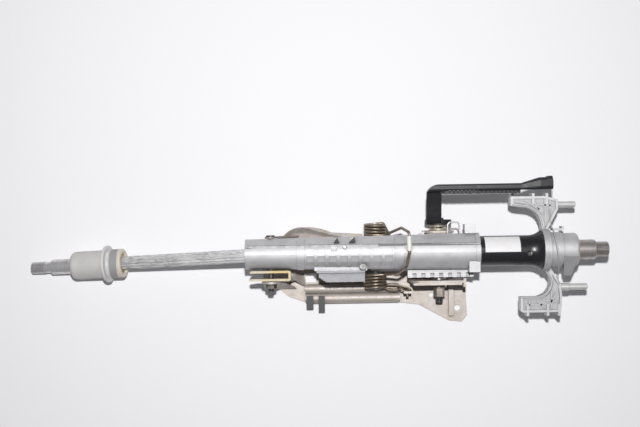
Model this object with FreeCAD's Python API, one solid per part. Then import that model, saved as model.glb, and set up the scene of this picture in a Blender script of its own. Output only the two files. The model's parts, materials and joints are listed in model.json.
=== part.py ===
import FreeCAD
import Part
import math
import os

# Adjustable steering column, lying on its mounting bracket.
# X runs along the column towards the steering wheel, Y towards the lever side, Z up from the bracket.
# The origin is on the bracket's mounting face, straight below the tilt pivot.

# Column line and tilt
axis_z = 62.0
tilt_angle = 2.5
shaft_yaw = 2.7

# Place of an arc's middle between the two ends of a quarter turn
diagonal = math.sqrt(0.5)
bulge = 1 - diagonal

# Gaps between pieces
running_gap = 0.05
free_gap = 0.3

# Column housing
housing_left = -35.0
housing_right = 291.0
housing_left_radius = 20.7
housing_right_radius = 25.0
mouth_radius = 18.4
mouth_length = 14.0
cavity_radius = 17.4
cavity_end = 28.0
core_radius = 13.0
jacket_bore_start = 165.0
bush_wall = 0.5
bush_length = 22.0
bush_spacing = 40.0
pad_band_start = 37.0
pad_band_width = 10.0
rear_band_start = 173.0
rear_band_width = 12.0
band_height = 1.0
facet_ridge_y = 13.0
facet_ridge_drop = 1.2
facet_proud = 0.5
facet_top = 7.0
facet_bottom = -9.0
groove_width = 3.6
groove_depth = 3.0
relief_start = 50.0
relief_pitch = 15.5
relief_length = 11.0
relief_width = 8.5
relief_depth = 0.9
relief_columns = 8
relief_rows = 3
relief_row_angle = 25.0
relief_first_angle = -7.0
pocket_x = 84.0
pocket_size = 9.0
pocket_y = 3.5
notch_first_x = 92.0
notch_pitch = 22.0
notch_half_width = 5.0
notch_y = 15.0
gusset_x = 203.0
gusset_length = 12.0
gusset_reach = 6.0
gusset_z = (-8.0, 4.0)

# Clamp and castellated flange of the housing
clamp_x = 239.0
clamp_z = 27.0
clamp_slit = 3.0
lug_length = 34.0
lug_bottom = 17.0
lug_side = 25.4
flange_start = 192.0
flange_end = 284.0
flange_reach = 36.0
flange_top = 58.0
flange_thickness = 9.0
castle_pitch = 12.5
castle_width = 6.0
castle_depth = 5.0
end_block_back = 20.0
end_block_length = 16.0
end_block_half_height = 9.0
end_block_reach = 38.0
end_lug_start = 16.0
end_lug_end = 1.0
end_lug_z = (4.0, 22.0)
end_lug_low = 13.0
end_lug_reach = 28.0

# Lock case beside the housing
case_start = 64.0
case_end = 131.0
case_inner_y = 23.6
case_outer_y = 39.5
case_bottom = 50.0
case_top = 76.0
case_step = 3.0
case_rib_pitch = 7.0
case_lip = 4.0
case_screw_x = 128.0
case_screw_y = 18.0
screw_boss_radius = 5.0
screw_boss_top = 18.6
screw_head_radius = 4.0
screw_head_height = 3.0

# Jacket tube and carrier
jacket_radius = 21.2
jacket_wall = 1.8
jacket_left = 200.0
flare_start = 360.0
flare_radius = 26.0
flare_angle = 42.0
jacket_hole_x = 359.0
jacket_hole_radius = 3.5
jacket_hole_angle = -80.0
reach_travel = 30.0
web_thickness = 9.0
web_radius = 30.0
hub_step_x = 405.5
hub_end_x = 428.5
hub_radius = 23.5
hub_step = 1.2
hub_nose = 4.0
carrier_z_low = 50.0
carrier_z_high = 68.0
carrier_wall = 3.2
carrier_floor = 4.0
upper_arm_left = 336.0
upper_arm_y = 75.5
upper_arm_low_y = 63.0
lower_arm_left = 348.0
lower_arm_y = 86.5
lower_arm_high_y = 65.0
arm_right = 402.0
neck_x = 390.0
neck_y = 46.0
prong_width = 3.5
prong_height = 5.0
stud_upper_y = 63.6
stud_upper_radius = 4.2
stud_lower_y = 52.0
stud_lower_radius = 4.5
stud_length = 26.0
stud_root_radius = 3.4
stud_root_length = 10.0
stud_boss_radius = 5.5
stud_boss_length = 15.0
stud_z = 59.0
stud_wall = 2.0
stud_boss_back = 12.0
upper_prongs = (337.0, 366.0, 385.0)
lower_prongs = (356.0, 384.0, 400.0)
prong_rib = 11.0
spigot_length = 18.0
spigot_wall = 4.0
arm_foot = 6.0
arm_edge = 2.0
upper_arm_curve = ((5.0, 14.0), (20.0, 3.0))
upper_arm_step = 8.0
tab_z = (-22.0, -6.0)
tab_y = 30.0
tab_length = 25.0
tab_thickness = 3.0

# Wheel shaft
wheel_shaft_left = 201.0
wheel_shaft_radius = 10.0
wheel_bore_end = 345.0
collar_radius = 13.85
collar_length = 25.0
wheel_spline_radius = 10.7
wheel_spline_length = 18.0
wheel_spline_teeth = 36
tooth_depth = 0.8
wheel_bolt_radius = 7.0
wheel_bolt_depth = 24.0
chamfer = 1.5

# Bearings
bearing_width = 10.0
lower_bearing_radius = 16.0
bearing_inset = 5.0
jacket_bearing_x = wheel_shaft_left + bearing_inset
upper_bearing_x = 408.5
upper_bearing_radius = 18.5
ring_width = 1.5

# Universal joint
pin_radius = 3.5
cup_wall = 1.8
ear_half_width = 7.5
ear_inner = 9.5
ear_outer = 14.6
ear_round = 15.6
yoke_base_start = 13.5
yoke_base_end = 21.0
yoke_base_radius = 11.5
fork_journal_radius = 9.0
cross_hub_radius = 5.6
inner_shaft_radius = 7.4
inner_shaft_end = 310.0
flute_depth = 1.1
flute_count = 12

# Lower shaft and firewall sleeve, measured along the shaft from the joint centre
fluted_radius = 9.4
fluted_end = 290.0
lower_tube_start = 216.0
lower_tube_radius = 10.8
lower_tube_end = 322.0
lower_bore_end = 318.0
lower_band_radius = 8.0
tip_start = 332.0
tip_end = 352.7
tip_radius = 8.5
tip_teeth = 30
insert_teeth = 16
insert_length = 8.0
insert_radius = 12.4
nose_start = 214.0
nose_radius = 20.6
nose_length = 16.0
neck_radius = 17.5
flange_x = 236.0
seal_flange_radius = 26.3
seal_flange_width = 4.0
sleeve_radius = 20.0
sleeve_end = 291.0
sleeve_round = 7.0
sleeve_wall = 2.6
extend_travel = 50.0
compress_travel = 25.0

# Mounting bracket
sheet = 3.0
base_right = 262.0
base_left = -14.0
base_left_y = 30.0
base_right_y = 48.0
base_upper_y = 12.0
pivot_corners = ((1.0, 51.0), (9.0, 52.5), (23.0, 64.0))
ear_corners = ((211.6, 78.3), (255.3, 102.2), (274.0, 104.3), (282.0, 95.0), (280.0, 54.4))
sheet_corner = 1.5
rail_start = 47.0
rail_end = 184.0
rail_inner_y = 46.5
rail_outer_y = 75.0
rail_height = 8.0
rail_crest = 13.0
rail_shoulder = 5.0
rail_valley_y = 60.0
window_start = 47.5
window_length = 16.0
window_low_y = 44.0
window_high_y = 31.0
small_hole = (26.0, -52.0)
base_openings = ((90.0, 128.0, -22.0, 9.0), (150.0, 205.0, -30.0, 6.0))
opening_corner = 5.0
fold_corner = 2.5
ear_x = 267.8
ear_y = 84.0
ear_hole_radius = 4.5
ear_boss_radius = 8.5
ear_boss_height = 1.2
locating_x = 230.3
locating_y = 64.8
locating_radius = 3.2
fold_x = 258.0
fold_half_width = 3.4
fold_low_y = 97.0
fold_high_y = 50.0
fold_height = 11.0
spring_lug_x = 188.0
spring_lug_width = 11.0
spring_lug_top = 34.0
spring_lug_y = 57.0
cheek_y = 38.0
cheek_radius = 13.0
pivot_radius = 4.0
cheek_foot = 36.0
cheek_hole = (6.0, 10.0, 26.0)
arch_height = 17.0
arch_start = 14.0
arch_end = 131.0
arch_peak_x = 46.0
arch_peak_y = 36.5
arch_end_y = 25.5
arch_start_y = 21.5
arch_reach = (12.0, 20.0, 40.0)
arch_fall = (4.0, 1.5, 8.0)
link_foot = (3.0, 34.0)
arch_slope = 9.0
arch_lean = 14.0
link_y = 22.3
link_thickness = 2.4
link_radius = 8.0
link_foot_z = 5.0
clamp_cheek_start = 197.0
clamp_cheek_end = 274.0
clamp_spacer = 5.0
clamp_cheek_y = flange_reach + clamp_spacer
clamp_cheek_top = 58.0
clamp_cheek_round = 14.0
lever_cheek_y = 26.0
lever_cheek_half = 21.0
lever_cheek_top = 50.0
cross_piece_height = 52.0

# Pivot yoke and bolts
yoke_left = -29.0
yoke_right = 28.0
yoke_inner_y = 22.6
yoke_outer_y = 37.0
yoke_sheet = 3.2
yoke_half_height = 11.0
bolt_head_radius = 8.0
bolt_head_height = 5.0
bolt_tip = 52.0
bush_flange = 1.2

# Balance spring
coil_x = 148.0
coil_z = 30.0
coil_radius = 14.0
wire_radius = 2.0
coil_pitch = 4.3
coil_turns_near = 4.5
coil_turns_far = 3.5
coil_inner_near = 30.5
coil_inner_far = 22.5
bridge_x = 192.0
bridge_radius = 27.4
rail_shoulders = ((178.0, -29.0, 69.0), (188.0, -19.0, 85.5))
lever_shoulders = ((173.0, -29.5, 52.0), (183.0, -34.5, 68.0), (192.0, -28.5, 89.4))
bend_radius = 5.0
leg_length = 12.0
hook_x = 193.5
hook_end_y = -65.0
rest_leg = ((161.0, -41.0, 16.0), (177.0, -9.0, 5.3), (197.0, -9.0, 5.3))
hook_rise = 12.0
hook_bend = 4.2
spool_flange = 1.6
spool_gap = 1.0
perch_width = 12.0
perch_pin_radius = 4.0
pin_head = 1.5
sleeve_tube_wall = 1.2
sleeve_start_y = 3.0
sleeve_tube_length = 20.5

# Clamp bolt, cams and lever
clamp_bolt_radius = 5.0
clamp_slot_gap = 0.4
washer_radius = 11.5
washer_thickness = 2.8
cam_radius = 12.0
cam_thickness = 3.0
cam_lobe_height = 1.1
cam_lobe_angle = 9.0
cam_lobes = 3
cam_travel = 0.9
nut_radius = 8.0
nut_length = 13.0
nut_flange_radius = 11.0
bolt_end_length = 8.0
lever_hub_radius = 19.0
lever_hub_y = 7.0
arm_start_width = 22.0
arm_end_width = 20.5
arm_start_depth = 6.0
arm_end_depth = 8.0
arm_x = 231.5
arm_top_x = 226.8
arm_root_z = 34.0
arm_stations = 6
arm_lead = 0.2
arm_top = 0.92
arm_corner = 0.3
grip_grooves = 18
grip_groove_pitch = 5.5
grip_groove_start = 246.3
grip_teeth_start = 242.0
grip_teeth_reach = 4.6
handle_y = 88.8
handle_z = 96.5
handle_step_x = 286.0
paddle_start_x = 345.0
paddle_full_x = 370.0
paddle_cap_x = 380.0
handle_end_x = 387.5
handle_depth = 9.0
handle_height = 13.0
grip_height = 15.0
paddle_depth = 16.5
cap_depth = 18.4
paddle_height = 23.0
elbow_radius = 16.0
loop_start_x = 248.0
loop_end_x = 264.0
loop_reach = 41.0
loop_z = 66.0
loop_wire = 1.1

# Cable clips on the rail's edge
clip_positions = (48.5, 66.0)
clip_widths = (10.0, 9.0)
clip_reach = (81.0, 85.5)
clip_inner_y = 63.0
clip_height = 5.0
clip_lip = 2.2


def vec(x, y, z):
    return FreeCAD.Vector(x, y, z)


def cylinder_x(radius, x0, x1, y=0.0, z=axis_z):
    return Part.makeCylinder(radius, x1 - x0, vec(x0, y, z), vec(1, 0, 0))


def cylinder_y(radius, y0, y1, x, z):
    return Part.makeCylinder(radius, y1 - y0, vec(x, y0, z), vec(0, 1, 0))


def cylinder_z(radius, z0, z1, x, y):
    return Part.makeCylinder(radius, z1 - z0, vec(x, y, z0), vec(0, 0, 1))


def box(x0, x1, y0, y1, z0, z1):
    return Part.makeBox(x1 - x0, y1 - y0, z1 - z0, vec(x0, y0, z0))


def outline(points, place):
    """A closed wire through the points. A pair of points stands for an arc: its middle and its end."""
    edges = []
    first = place(*points[0])
    here = first
    for point in points[1:]:
        if isinstance(point[0], tuple):
            middle, end = place(*point[0]), place(*point[1])
            edges.append(Part.Arc(here, middle, end).toShape())
        else:
            end = place(*point)
            edges.append(Part.makeLine(here, end))
        here = end
    if here.distanceToPoint(first) > running_gap / 100:
        edges.append(Part.makeLine(here, first))
    return Part.Wire(edges)


def prism_z(points, z0, z1):
    """A plan outline pulled up from z0 to z1."""
    face = Part.Face(outline(points, lambda x, y: vec(x, y, z0)))
    return face.extrude(vec(0, 0, z1 - z0))


def prism_y(points, y0, y1):
    """A side outline of x and z pulled along Y."""
    face = Part.Face(outline(points, lambda x, z: vec(x, y0, z)))
    return face.extrude(vec(0, y1 - y0, 0))


def prism_x(points, x0, x1):
    """A cross-section of y and z pulled along X."""
    face = Part.Face(outline(points, lambda y, z: vec(x0, y, z)))
    return face.extrude(vec(x1 - x0, 0, 0))


def turned(points, z=axis_z):
    """A profile of x and radius turned about the column axis."""
    face = Part.Face(outline(points, lambda x, r: vec(x, 0, z + r)))
    return face.revolve(vec(0, 0, z), vec(1, 0, 0), 360)


def ring_x(outer, inner, x0, x1):
    return cylinder_x(outer, x0, x1).cut(cylinder_x(inner, x0, x1))


def ring_y(outer, inner, y0, y1, x, z):
    return cylinder_y(outer, y0, y1, x, z).cut(cylinder_y(inner, y0, y1, x, z))


def rounded(corners, radius):
    """Plan points of a polygon with every corner rounded by an arc of the same radius."""
    points = []
    count = len(corners)
    for i, corner in enumerate(corners):
        before = FreeCAD.Vector(*corners[i - 1], 0)
        here = FreeCAD.Vector(*corner, 0)
        after = FreeCAD.Vector(*corners[(i + 1) % count], 0)
        to_before = (before - here).normalize()
        to_after = (after - here).normalize()
        half = to_before.getAngle(to_after) / 2
        reach = radius / math.tan(half)
        start = here + to_before * reach
        end = here + to_after * reach
        inward = (to_before + to_after).normalize()
        middle = here + inward * (radius / math.sin(half) - radius)
        if points:
            points.append((start.x, start.y))
        else:
            points = [(start.x, start.y)]
        points.append(((middle.x, middle.y), (end.x, end.y)))
    return points


def rectangle(x0, x1, y0, y1):
    return [(x0, y0), (x1, y0), (x1, y1), (x0, y1)]


def gear_points(outer, root, teeth, top_share=0.5):
    """Plan points of a toothed circle: flat-topped teeth on a root circle."""
    points = []
    for i in range(teeth):
        for radius, share in ((root, -0.5), (outer, -top_share / 2), (outer, top_share / 2), (root, 0.5)):
            angle = 2 * math.pi * (i + share * 0.96) / teeth
            points.append((radius * math.cos(angle), radius * math.sin(angle)))
    return points


def toothed_x(outer, root, teeth, x0, x1):
    """A toothed bar about the column axis."""
    return prism_x([(y, axis_z + z) for y, z in gear_points(outer, root, teeth)], x0, x1)


def fluted_x(radius, x0, x1, grow=0.0):
    """A corrugated bar about the column axis: round crests and round flutes that join smoothly."""
    crest, root = radius + grow, radius - flute_depth + grow
    points = []
    for i in range(flute_count):
        base = 2 * math.pi * i / flute_count
        step = 2 * math.pi / flute_count
        middle = (crest + root) / 2

        def at(r, share):
            return (r * math.cos(base + step * share), axis_z + r * math.sin(base + step * share))
        if not points:
            points.append(at(middle, -0.25))
        points.append((at(crest, 0), at(middle, 0.25)))
        points.append((at(root, 0.5), at(middle, 0.75)))
    return prism_x(points, x0, x1)


def bent_wire(route, radius, bend):
    """Round wire along straight runs joined by tangent arcs of one bend radius."""
    edges = []
    here = route[0]
    for i in range(1, len(route) - 1):
        corner = route[i]
        back = (route[i - 1] - corner).normalize()
        ahead = (route[i + 1] - corner).normalize()
        half = back.getAngle(ahead) / 2
        reach = bend / math.tan(half)
        start = corner + back * reach
        end = corner + ahead * reach
        middle = corner + (back + ahead).normalize() * (bend / math.sin(half) - bend)
        edges.append(Part.makeLine(here, start))
        edges.append(Part.Arc(start, middle, end).toShape())
        here = end
    edges.append(Part.makeLine(here, route[-1]))
    path = Part.Wire(edges)
    direction = route[1] - route[0]
    section = Part.Wire([Part.makeCircle(radius, route[0], direction)])
    return path.makePipeShell([section], True, False)


def fused(shapes):
    """The shapes joined to one solid, with leftover seams removed."""
    whole = shapes[0].multiFuse(shapes[1:])
    whole = whole.removeSplitter()
    return whole.Solids[0] if len(whole.Solids) == 1 else whole


def hexagon(radius):
    return [(radius * math.cos(math.pi * i / 3), radius * math.sin(math.pi * i / 3)) for i in range(6)]


def hex_nut_y(radius, y0, y1, x, z):
    return prism_y([(x + a, z + b) for a, b in hexagon(radius)], y0, y1)


def housing_radius(x):
    """Outside radius of the tapered housing at a place along the column."""
    share = (x - housing_left) / (housing_right - housing_left)
    return housing_left_radius + share * (housing_right_radius - housing_left_radius)


# The lower shaft points down so that its seal flange just touches the mounting plane.
flange_rim = math.hypot(flange_x + seal_flange_width, seal_flange_radius)
shaft_pitch = math.degrees(
    math.asin(axis_z / flange_rim) - math.atan2(seal_flange_radius, flange_x + seal_flange_width)
)


def pitched(shape):
    """Turns a piece that is drawn on the column axis down to the joint's first angle."""
    shape.rotate(vec(0, 0, axis_z), vec(0, 1, 0), -shaft_pitch)
    return shape


def lower(shape):
    """Turns a piece that is drawn on the column axis to the line of the lower shaft."""
    shape.rotate(vec(0, 0, axis_z), vec(0, 0, 1), shaft_yaw)
    return pitched(shape)


def housing_facet():
    """Slanted flange on the lever side, from the top ridge out to the widest line."""
    ends = []
    for x in (housing_left, housing_right):
        radius = housing_radius(x)
        ridge_z = math.sqrt(radius ** 2 - facet_ridge_y ** 2) + facet_ridge_drop
        corners = [
            (facet_ridge_y, axis_z + ridge_z),
            (radius + facet_proud, axis_z + facet_top),
            (radius + facet_proud, axis_z + facet_bottom),
            (facet_ridge_y, axis_z + facet_bottom),
        ]
        ends.append(outline(corners, lambda y, z, x=x: vec(x, y, z)))
    return Part.makeLoft(ends, True, True)


def housing_groove():
    """Long groove beside the ridge, following the housing's taper."""
    ends = []
    for x in (housing_left - 1, housing_right + 1):
        floor = axis_z + math.sqrt(housing_radius(x) ** 2 - facet_ridge_y ** 2) - groove_depth / 2
        low_y = facet_ridge_y - groove_width
        ends.append(outline(rectangle(low_y, facet_ridge_y, floor, floor + housing_left_radius),
                            lambda y, z, x=x: vec(x, y, z)))
    return Part.makeLoft(ends, True, True)


def housing_bands():
    """Raised bands round the tube near the pivot, before the clamp and at the open end."""
    bands = []
    end_start = housing_right - rear_band_width / 2
    for start, width in ((pad_band_start, pad_band_width), (rear_band_start, rear_band_width),
                         (end_start, rear_band_width / 2)):
        radius = housing_radius(start) + band_height
        bands.append(cylinder_x(radius, start, start + width))
    return bands


def housing_relief():
    """Shallow pockets in rows along the visible top of the tube."""
    pockets = []
    for column in range(relief_columns):
        x = relief_start + column * relief_pitch
        for row in range(relief_rows):
            angle = relief_first_angle + relief_row_angle * row
            floor = axis_z + housing_radius(x + relief_length / 2) - relief_depth
            half = relief_width / 2
            pocket = box(x, x + relief_length, -half, half, floor, floor + relief_width)
            pocket.rotate(vec(0, 0, axis_z), vec(1, 0, 0), angle)
            pockets.append(pocket)
    return pockets


def housing_flange():
    """Side flange with a castellated top edge, above the clamp lug."""
    shelf = box(flange_start, flange_end, -flange_reach, -lug_side, flange_top - flange_thickness, flange_top)
    notches = []
    x = flange_start + castle_pitch / 2
    while x + castle_width < flange_end:
        notches.append(box(x, x + castle_width, -flange_reach - 1, -flange_reach + castle_pitch / 2,
                           flange_top - castle_depth, flange_top + 1))
        x += castle_pitch
    return shelf.cut(notches[0].multiFuse(notches[1:]))


def housing_lugs():
    """Clamp lugs below the tube, on both sides of the slit."""
    half = lug_length / 2
    lug_top = axis_z - jacket_radius / 2
    lugs = box(clamp_x - half, clamp_x + half, -flange_reach, lug_side, lug_bottom, lug_top)
    left, web_top = clamp_x - half - lug_side, axis_z - jacket_radius
    web = [(left, web_top), (clamp_x - half, lug_bottom), (clamp_x - half, web_top)]
    return [lugs, prism_y(web, -flange_reach / 3, flange_reach / 3)]


def housing_ends():
    """Blocks at the open end and the small gusset on the lever side."""
    block_start = housing_right - end_block_back
    block = box(block_start, block_start + end_block_length, lug_side, end_block_reach,
                axis_z - end_block_half_height, axis_z + end_block_half_height)
    lug = box(housing_right - end_lug_start, housing_right - end_lug_end, -end_lug_reach, -end_lug_low,
              axis_z + end_lug_z[0], axis_z + end_lug_z[1])
    side = housing_radius(gusset_x) - 1
    gusset = prism_z([(gusset_x, side), (gusset_x + gusset_length, side),
                      (gusset_x + gusset_length, side + gusset_reach)],
                     axis_z + gusset_z[0], axis_z + gusset_z[1])
    return [block, lug, gusset]


def column_housing():
    """Cast housing: tapered tube, facet, bands, lugs and flange, bored for the shaft and the jacket."""
    tube = turned([(housing_left, 0), (housing_left, housing_left_radius),
                   (housing_right, housing_right_radius), (housing_right, 0)])
    pad = box(case_start - case_step, case_end + case_step, -case_inner_y, -case_inner_y / 2,
              case_bottom + 2, case_top - 2)
    solids = [tube, housing_facet(), pad, housing_flange()]
    solids += housing_bands() + housing_lugs() + housing_ends()
    body = solids[0].multiFuse(solids[1:])
    cuts = [housing_groove()] + housing_relief()
    cuts.append(cylinder_x(core_radius, housing_left, housing_right))
    cuts.append(cylinder_x(cavity_radius, housing_left, cavity_end))
    cuts.append(cylinder_x(lower_bearing_radius, cavity_end - 1, cavity_end + bearing_width))
    cuts.append(turned([(housing_left - 1, 0), (housing_left - 1, mouth_radius), (housing_left, mouth_radius),
                        (housing_left + mouth_length, cavity_radius), (housing_left + mouth_length, 0)]))
    cuts.append(cylinder_x(jacket_radius + 2 * running_gap + bush_wall, jacket_bore_start, housing_right + 1))
    half = lug_length / 2
    cuts.append(box(clamp_x - half - lug_side, housing_right + 1, -clamp_slit / 2, clamp_slit / 2,
                    lug_bottom - 1, axis_z - core_radius / 2))
    cuts.append(cylinder_y(clamp_bolt_radius + free_gap, -flange_reach - 1, lug_side + 1, clamp_x, clamp_z))
    side = housing_right_radius
    cuts.append(cylinder_y(pivot_radius + bush_wall * 3, -side, side, 0, axis_z))
    cuts.append(box(pocket_x, pocket_x + pocket_size, pocket_y, pocket_y + pocket_size,
                    axis_z + housing_left_radius - groove_depth, axis_z * 2))
    for i in range(2):
        x = notch_first_x + i * notch_pitch
        cuts.append(prism_z([(x - notch_half_width, housing_right_radius + 2),
                             (x + notch_half_width, housing_right_radius + 2), (x, notch_y)],
                            axis_z + facet_bottom - 1, axis_z * 2))
    boss = cylinder_z(screw_boss_radius, axis_z + core_radius + 1, axis_z + screw_boss_top,
                      case_screw_x, -case_screw_y)
    return body.cut(cuts).fuse(boss).removeSplitter()


def lock_case():
    """Cast case beside the housing, with a stepped ribbed end and a lip along its top."""
    inner, outer = -case_inner_y, -case_outer_y
    body = box(case_start + 4 * case_step, case_end, outer, inner, case_bottom, case_top - case_lip)
    solids = [body]
    for i in range(1, 4):
        solids.append(box(case_start + i * case_step, case_end - 5, outer + (4 - i) * case_step / 1.5, inner,
                          case_bottom + (4 - i) * case_step, case_top - case_lip))
    solids.append(box(case_start, case_end, inner - case_step, inner, case_bottom + case_lip, case_top))
    x = case_start + 6 * case_step
    while x < case_end - case_rib_pitch:
        solids.append(box(x, x + case_rib_pitch / 4, outer - 1, outer + 1,
                          case_bottom + 2, case_top - case_lip - 2))
        x += case_rib_pitch * 1.5
    return fused(solids)


def guide_bushes():
    """Two plastic liners between the housing bore and the jacket tube."""
    inner, outer = jacket_radius + running_gap, jacket_radius + running_gap + bush_wall
    last = housing_right - 2
    bushes = []
    for end in (last, last - bush_spacing):
        liner = ring_x(outer, inner, end - bush_length, end)
        gap = box(end - bush_length - 1, end + 1, -clamp_slit, clamp_slit, 0, axis_z)
        bushes.append(liner.cut(gap))
    return Part.makeCompound(bushes)


def bearing(outer, inner, x0):
    """A closed bearing: two rings with sunk seals between them."""
    x1 = x0 + bearing_width
    third = (outer - inner) / 4
    body = ring_x(outer, inner, x0, x1)
    sunk = ring_x(outer - third, inner + third, x0, x0 + 1)
    return body.cut([sunk, ring_x(outer - third, inner + third, x1 - 1, x1)])


def retaining_ring(outer, inner, x0):
    """An open spring ring seen end on."""
    gap = box(x0 - 1, x0 + ring_width + 1, -ring_width, ring_width, axis_z, axis_z + outer + 1)
    return ring_x(outer, inner, x0, x0 + ring_width).cut(gap)


def jacket_tube():
    """Drawn steel tube with a flared end."""
    turn = math.radians(flare_angle)
    centre = jacket_radius + flare_radius

    def on_arc(radius, share):
        return (flare_start + radius * math.sin(turn * share), centre - radius * math.cos(turn * share))
    inner = flare_radius + jacket_wall
    profile = [(jacket_left, jacket_radius - jacket_wall), (jacket_left, jacket_radius),
               (flare_start, jacket_radius), (on_arc(flare_radius, 0.5), on_arc(flare_radius, 1)),
               on_arc(inner, 1), (on_arc(inner, 0.5), on_arc(inner, 0))]
    hole = cylinder_y(jacket_hole_radius, -2 * jacket_radius, 0, jacket_hole_x, axis_z)
    hole.rotate(vec(0, 0, axis_z), vec(1, 0, 0), jacket_hole_angle)
    return turned(profile).cut(hole)


carrier_x = flare_start + (flare_radius + jacket_wall) * math.sin(math.radians(flare_angle))


def carrier_arm(points, prongs, side):
    """One walled arm of the carrier, open on top, with prongs along its outer edge."""
    low, high = carrier_z_low, carrier_z_high
    arm = prism_z(points, low, high)
    floor = Part.Face(outline(points, lambda x, y: vec(x, y, low + carrier_floor)))
    arm = arm.cut(floor.makeOffset2D(-carrier_wall).extrude(vec(0, 0, high)))
    solids = [arm]
    for x in prongs:
        edge = upper_arm_y if side > 0 else lower_arm_y
        y0, y1 = sorted((side * (edge - carrier_wall), side * (edge + prong_height)))
        solids.append(box(x, x + prong_width, y0, y1, low, high))
        y2, y3 = sorted((side * (edge - carrier_wall), side * (edge - prong_rib)))
        solids.append(box(x, x + carrier_wall, y2, y3, low, high))
    return solids


def switch_carrier():
    """Cast carrier at the wheel end: web, hub with bearing seat, two arms and a small tab."""
    web_end = carrier_x + web_thickness
    spigot = jacket_radius - jacket_wall - running_gap
    root_x, inside = carrier_x - spigot_length, spigot - spigot_wall
    hub = turned([(root_x, spigot), (carrier_x, spigot), (carrier_x, web_radius),
                  (web_end, web_radius), (web_end, hub_radius + hub_step),
                  (hub_step_x, hub_radius + hub_step), (hub_step_x, hub_radius),
                  (hub_end_x - hub_nose, hub_radius),
                  ((hub_end_x - hub_nose * bulge, hub_radius - hub_nose * bulge),
                   (hub_end_x, hub_radius - hub_nose)),
                  (hub_end_x, upper_bearing_radius), (upper_bearing_x, upper_bearing_radius),
                  (upper_bearing_x, inside), (root_x, inside)])
    web_y = web_radius - arm_foot
    (middle_in, middle_drop), (end_in, end_drop) = upper_arm_curve
    upper = [(upper_arm_left, upper_arm_low_y), (upper_arm_left, upper_arm_y),
             (carrier_x + 2 * arm_edge, upper_arm_y), (arm_right, upper_arm_low_y + upper_arm_step),
             (arm_right, upper_arm_low_y - arm_foot), (web_end, web_y + arm_foot), (web_end, web_y),
             (carrier_x, web_y), ((carrier_x - middle_in, upper_arm_low_y - middle_drop),
                                  (carrier_x - end_in, upper_arm_low_y - end_drop))]
    far, edge = arm_right + arm_edge, lower_arm_left + 1.5 * arm_edge
    lower_points = [(lower_arm_left, -lower_arm_high_y), (lower_arm_left, -lower_arm_y + arm_edge),
                    (edge, -lower_arm_y), (far, -lower_arm_y), (far + arm_edge, -lower_arm_high_y),
                    (far, -stud_lower_y + stud_boss_radius),
                    (web_end + arm_edge, -web_y), (carrier_x + arm_edge, -web_y),
                    ((neck_x, -neck_y), (carrier_x + 1.5 * arm_edge, -lower_arm_high_y + 2 * arm_edge)),
                    (carrier_x - arm_foot, -lower_arm_high_y)]
    solids = [hub]
    solids += carrier_arm(upper, upper_prongs, 1)
    solids += carrier_arm(lower_points, lower_prongs, -1)
    tab_low, tab_high = axis_z + tab_z[0], axis_z + tab_z[1]
    tab_end = web_end + tab_length
    solids.append(box(web_end - 1, tab_end, tab_y - tab_thickness, tab_y, tab_low, tab_high))
    solids.append(box(tab_end - tab_thickness, tab_end, tab_y - tab_thickness, tab_y + tab_thickness,
                      tab_low, tab_high))
    boss_radius, boss_start = stud_boss_radius + stud_wall, arm_right - stud_boss_back
    solids.append(cylinder_x(boss_radius, boss_start, arm_right + 1, stud_upper_y, stud_z))
    solids.append(cylinder_x(boss_radius, boss_start, arm_right + 3, -stud_lower_y, stud_z))
    body = solids[0].multiFuse(solids[1:])
    root = arm_right + 1 - stud_root_length
    cuts = [cylinder_x(stud_root_radius, root, arm_right + 1, stud_upper_y, stud_z),
            cylinder_x(stud_boss_radius, root, arm_right + 6, -stud_lower_y, stud_z),
            cylinder_x(inside, root_x, upper_bearing_x)]
    return body.cut(cuts).removeSplitter()


def stud_nose(radius, end, y):
    """Chamfered last millimetre of a stud."""
    return Part.makeCone(radius, radius - 1, 1, vec(end - 1, y, stud_z), vec(1, 0, 0))


def upper_stud():
    """Plain stud whose thinner root is pressed into the upper arm's boss."""
    seat = arm_right + 1
    end = arm_right + stud_length
    root = cylinder_x(stud_root_radius, seat - stud_root_length, seat + 1, stud_upper_y, stud_z)
    pin = cylinder_x(stud_upper_radius, seat, end - 1, stud_upper_y, stud_z)
    return fused([root, pin, stud_nose(stud_upper_radius, end, stud_upper_y)])


def lower_stud():
    """Stepped stud: a thick part pressed into the lower arm's boss, and a thinner end."""
    step = arm_right + stud_boss_length
    end = step + stud_length
    thick = cylinder_x(stud_boss_radius, arm_right + 1 - stud_root_length, step, -stud_lower_y, stud_z)
    thin = cylinder_x(stud_lower_radius, arm_right, end - 1, -stud_lower_y, stud_z)
    return fused([thick, thin, stud_nose(stud_lower_radius, end, -stud_lower_y)])


def wheel_shaft():
    """Upper shaft: hollow fluted lower end, round collar, splined nose with a bolt hole."""
    start = hub_end_x + free_gap * 2
    collar_end = start + collar_length
    end = collar_end + wheel_spline_length
    r = collar_radius
    body = turned([(wheel_shaft_left, 0), (wheel_shaft_left, wheel_shaft_radius), (start, wheel_shaft_radius),
                   (start, r - chamfer / 2), (start + chamfer / 2, r), (collar_end - chamfer, r),
                   (collar_end, r - chamfer), (collar_end, 0)])
    spline = toothed_x(wheel_spline_radius, wheel_spline_radius - tooth_depth, wheel_spline_teeth,
                       collar_end - 1, end)
    bevel = turned([(collar_end - 1, 0), (collar_end - 1, wheel_spline_radius + 1),
                    (end - chamfer, wheel_spline_radius + 0.5), (end, wheel_spline_radius - chamfer),
                    (end, 0)])
    body = body.fuse(spline.common(bevel))
    bore = fluted_x(inner_shaft_radius, wheel_shaft_left - 1, wheel_bore_end, running_gap * 3)
    bolt = cylinder_x(wheel_bolt_radius, end - wheel_bolt_depth, end + 1)
    return body.cut([bore, bolt]).removeSplitter()


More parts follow.
